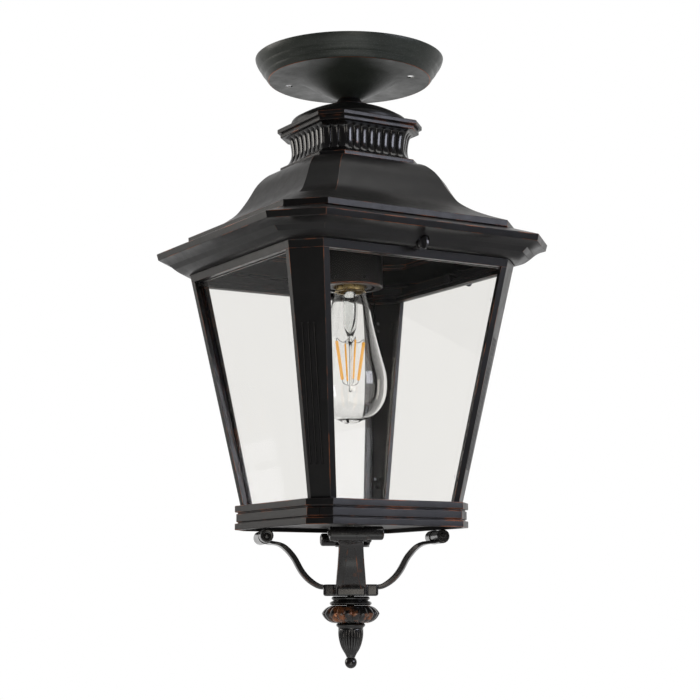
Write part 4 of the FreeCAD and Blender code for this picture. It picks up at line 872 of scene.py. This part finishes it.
core = lathe([(0, -18.3), (4.6, -18.3), (5.0, -17.9), (5.0, 12.9), (0, 12.9)], 48)
combine(unit, raw("core", about_y(core, SC.x, SC.z)), "UNION")
eye = lathe([(0, 10.0), (5.7, 10.0), (5.7, 24.9), (5.35, 25.9), (4.5, 26.5), (3.6, 26.45), (3.1, 25.9), (2.5, 25.75), (2.1, 26.1), (1.2, 26.5), (0, 26.5)], 56)
combine(unit, raw("eye", about_y(eye, SC.x, SC.z)), "UNION")
hubside = lathe([(0, -20.0), (1.7, -20.0), (2.4, -19.3), (2.4, -16.0), (0, -16.0)], 32)
combine(unit, raw("button", about_y(hubside, SC.x, SC.z)), "UNION")
me = unit.data
skew = math.radians(10.0)
for v in me.vertices:
    x, y, z = v.co * 1000.0
    f = min(1.0, max(0.0, (x - 62.0) / 7.0))
    f = f * f * (3 - 2 * f) * skew
    dx, dy = x - SC.x, y - SC.y
    v.co = Vector((SC.x + dx * math.cos(f) - dy * math.sin(f), SC.y + dx * math.sin(f) + dy * math.cos(f), z)) * MM
shade(unit, 34.0)
for k in range(4):
    o = bpy.data.objects.new("arm_%d" % (k + 1), unit.data.copy())
    scene.collection.objects.link(o)
    o.data.transform(Matrix.Rotation(math.radians(SPIN - 90 + 90 * k), 4, "Z"))
    place(o, "spider", ["scroll_arm_%d" % (k + 1)])
bpy.data.objects.remove(unit)

# ---------------------------------------------------------------- finial
HB = 475.4
rings_p = arcs([(3.08, HB + 0.3), (15.0, HB + 0.3), (16.6, HB + 2.0), (15.0, HB + 3.7), (15.6, HB + 4.3), (18.2, HB + 6.2), (16.6, HB + 8.0), (3.08, HB + 8.0)],
               {1: (2.4, -1), 2: (2.4, -1), 4: (2.7, -1), 5: (2.7, -1)}, 6)
piece("rings", lathe(rings_p, 96), "finial", ["finial_rings"], (M_GLOSS, M_EDGE), sharp=36.0)

LOBES = 20


def lobe(t, r, d):
    f = abs(math.cos(t * LOBES / 2))
    return r - 1.75 * (r / 24.9) ** 1.3 * (1 - f ** 0.62) if r > 11 else r


mel = arcs([(15.0, 483.5), (24.9, 490.2), (12.0, 498.4)], {0: (11.2, -1), 1: (12.6, -1)}, 16)
mel = [p for p in mel]
cut = mel.index((12.0, 498.4)) + 1
mel = [(3.08, 483.5)] + mel[:cut] + [(3.08, 498.4)]
piece("melon", lathe(mel, LOBES * 12, lobe), "finial", ["melon_ball"], (M_MELON, M_EDGE), sharp=42.0, weighted=False)

MB = 498.4
col = [(0, MB + 0.1), (11.2, MB + 0.1), (12.2, MB + 0.7), (12.6, MB + 1.7), (12.2, MB + 2.7), (11.1, MB + 3.5), (10.7, MB + 4.4), (10.9, MB + 5.6), (0, MB + 5.6)]
piece("collar", lathe(col, 96), "finial", ["finial_collar"], (M_GLOSS, M_EDGE), sharp=40.0)

FL = 22
ac = arcs([(10.7, 504.1), (9.6, 514.5), (6.2, 522.5), (3.7, 527.2)], {0: (30, -1), 1: (24, -1), 2: (20, 1)}, 9)
cut = ac.index((3.7, 527.2)) + 1
ac = [(0, 504.1)] + [(10.2, 504.1)] + ac[:cut] + [(0, 527.2)]


def groove(t, r, d):
    f = abs(math.cos(t * FL / 2))
    amp = 0.75 * lerp(d, 504.3, 507.5, 0.25, 1.0) * lerp(d, 515.0, 526.0, 1.0, 0.12)
    return r - amp * (1 - f ** 0.7) if r > 3.0 else r


piece("acorn", lathe(ac, FL * 10, groove), "finial", ["acorn_spike"], (M_GLOSS, M_EDGE), sharp=42.0, weighted=False)
tipb = arcs([(0, 527.3), (3.4, 527.3), (3.4, 527.566), (0, 536.7)], {2: (5.2, -1)}, 22)
piece("tip", lathe(tipb, 64), "finial", ["tip_ball"], (M_GLOSS, M_EDGE), sharp=40.0)

# glass clips: low tabs tucked in behind the posts' returns, at the places the CAD gives them
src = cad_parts["pane_clips"]
bm = bmesh.new()
bm.from_mesh(src.data)
bm.transform(src.matrix_world)
left = set(bm.verts)
while left:
    island, todo = set(), [next(iter(left))]
    while todo:
        v = todo.pop()
        if v in left:
            left.discard(v)
            island.add(v)
            todo += [e.other_vert(v) for e in v.link_edges]
    mid = sum((v.co for v in island), Vector()) / len(island)
    ax_ = 0 if abs(mid.y) > abs(mid.x) else 1
    root = max(island, key=lambda v: abs(v.co[ax_])).co.copy()
    for v in island:
        v.co = root + (v.co - root) * 0.3
me = bpy.data.meshes.new("clips")
bm.to_mesh(me)
bm.free()
me.materials.clear()
me.materials.append(M_BRONZE)
for f in me.polygons:
    f.material_index = 0
o = bpy.data.objects.new("clips", me)
scene.collection.objects.link(o)
soften(o, 0.08, 40.0, 1)
shade(o, 36.0)
place(o, "cage", ["pane_clips"])

# ---------------------------------------------------------------- carried-over parts
keep_mats = {
    "stem_nipple": M_STEEL, "canopy_washer": M_STEEL, "canopy_locknut": M_STEEL, "cap_washer": M_STEEL, "cap_locknut": M_STEEL, "socket_stem": M_STEEL,
    "socket_locknut": M_STEEL, "bridge_screws": M_STEEL, "plate_screws": M_STEEL, "rod_nut": M_STEEL, "rod_washer": M_STEEL, "tie_rod": M_STEEL,
    "plate_tabs": M_BRONZE, "socket_bridge": M_INSIDE, "bridge_feet": M_INSIDE, "cup_screws": M_GLOSS, "lampholder": M_BLACK, "screw_shell": M_BRASS, "centre_contact": M_BRASS,
    "bulb_cap": M_BRASS, "bulb_contact": M_BRASS, "bulb_insulator": M_BLACK, "bottom_plate": M_INSIDE, "pane_front": M_PANE, "pane_rear": M_PANE, "pane_left": M_PANE, "pane_right": M_PANE,
}
for node, mat in keep_mats.items():
    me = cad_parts[node].data
    me.materials.clear()
    me.materials.append(mat)

# ---------------------------------------------------------------- studio


def softbox(name, loc, target, size, power, colour, size_y=None):
    ld = bpy.data.lights.new(name, "AREA")
    ld.shape = "RECTANGLE"
    ld.size, ld.size_y = size, size_y or size
    ld.energy = power
    ld.color = colour
    ob = bpy.data.objects.new(name, ld)
    scene.collection.objects.link(ob)
    ob.location = loc
    ob.rotation_euler = (Vector(target) - Vector(loc)).to_track_quat("-Z", "Y").to_euler()
    return ob


aim = (0, 0, -0.27)
softbox("right_front", (1.5, -2.4, 0.34), aim, 1.2, 25, (0.84, 0.86, 1.0), 1.05)
softbox("left_back", (-1.9, 1.6, 0.2), aim, 1.2, 17, (1.0, 0.96, 0.9), 1.2)
softbox("front_low", (-1.1, -2.6, -0.7), aim, 0.8, 6, (1.0, 0.93, 0.84), 0.9)
softbox("under", (-0.7, -1.2, -1.6), (0, 0, -0.1), 1.5, 6, (0.97, 1.0, 0.96), 1.5)
softbox("top", (0.3, -0.6, 2.2), aim, 2.0, 24, (1.0, 0.99, 0.97), 2.0)

world = bpy.data.worlds.new("studio")
scene.world = world
world.use_nodes = True
nt = world.node_tree
nt.nodes.clear()
wo = nt.nodes.new("ShaderNodeOutputWorld")
bg_seen = nt.nodes.new("ShaderNodeBackground")
bg_seen.inputs["Color"].default_value = (1.0, 1.0, 1.0, 1.0)
bg_seen.inputs["Strength"].default_value = 1.0
bg_fill = nt.nodes.new("ShaderNodeBackground")
lp = nt.nodes.new("ShaderNodeLightPath")
tc = nt.nodes.new("ShaderNodeTexCoord")
dot = nt.nodes.new("ShaderNodeVectorMath")
dot.operation = "DOT_PRODUCT"
dot.inputs[1].default_value = (0.51, 0.86, 0.0)
nt.links.new(tc.outputs["Generated"], dot.inputs[0])
fill = ramp(nt, remap(nt, dot.outputs["Value"], 0.0, 1.0, -1.0, 1.0), [(0.0, (0.06, 0.06, 0.063)), (0.55, (0.11, 0.11, 0.112)), (0.8, (0.5, 0.49, 0.48)), (1.0, (0.95, 0.95, 0.95))])
nt.links.new(fill, bg_fill.inputs["Color"])
bg_fill.inputs["Strength"].default_value = 1.0
seen = nt.nodes.new("ShaderNodeMath")
seen.operation = "MAXIMUM"
nt.links.new(lp.outputs["Is Camera Ray"], seen.inputs[0])
nt.links.new(lp.outputs["Is Transmission Ray"], seen.inputs[1])
mx = nt.nodes.new("ShaderNodeMixShader")
nt.links.new(seen.outputs[0], mx.inputs[0])
nt.links.new(bg_fill.outputs[0], mx.inputs[1])
nt.links.new(bg_seen.outputs[0], mx.inputs[2])
nt.links.new(mx.outputs[0], wo.inputs[0])

# pale floor, well below the hung lantern
fm, fnt, fb, fo, ftc = new_mat("floor")
nt_n = noise(fnt, ftc, 3.0, 3.0)
fnt.links.new(ramp(fnt, nt_n, [(0.3, (0.78, 0.78, 0.775)), (0.7, (0.82, 0.82, 0.815))]), fb.inputs["Base Color"])
fb.inputs["Roughness"].default_value = 0.8
fb.inputs["Emission Color"].default_value = (1.0, 1.0, 0.99, 1.0)
flp = fnt.nodes.new("ShaderNodeLightPath")
fseen = fnt.nodes.new("ShaderNodeMath")
fseen.operation = "MAXIMUM"
fnt.links.new(flp.outputs["Is Camera Ray"], fseen.inputs[0])
fnt.links.new(flp.outputs["Is Transmission Ray"], fseen.inputs[1])
fnt.links.new(remap(fnt, fseen.outputs[0], 0.0, 0.55), fb.inputs["Emission Strength"])
fs = Shell()
fs.cap(fs.ring([(-3500, -3500, -1900), (3500, -3500, -1900), (3500, 3500, -1900), (-3500, 3500, -1900)]))
floor = raw("floor", fs, (fm,))

bpy.context.view_layer.update()
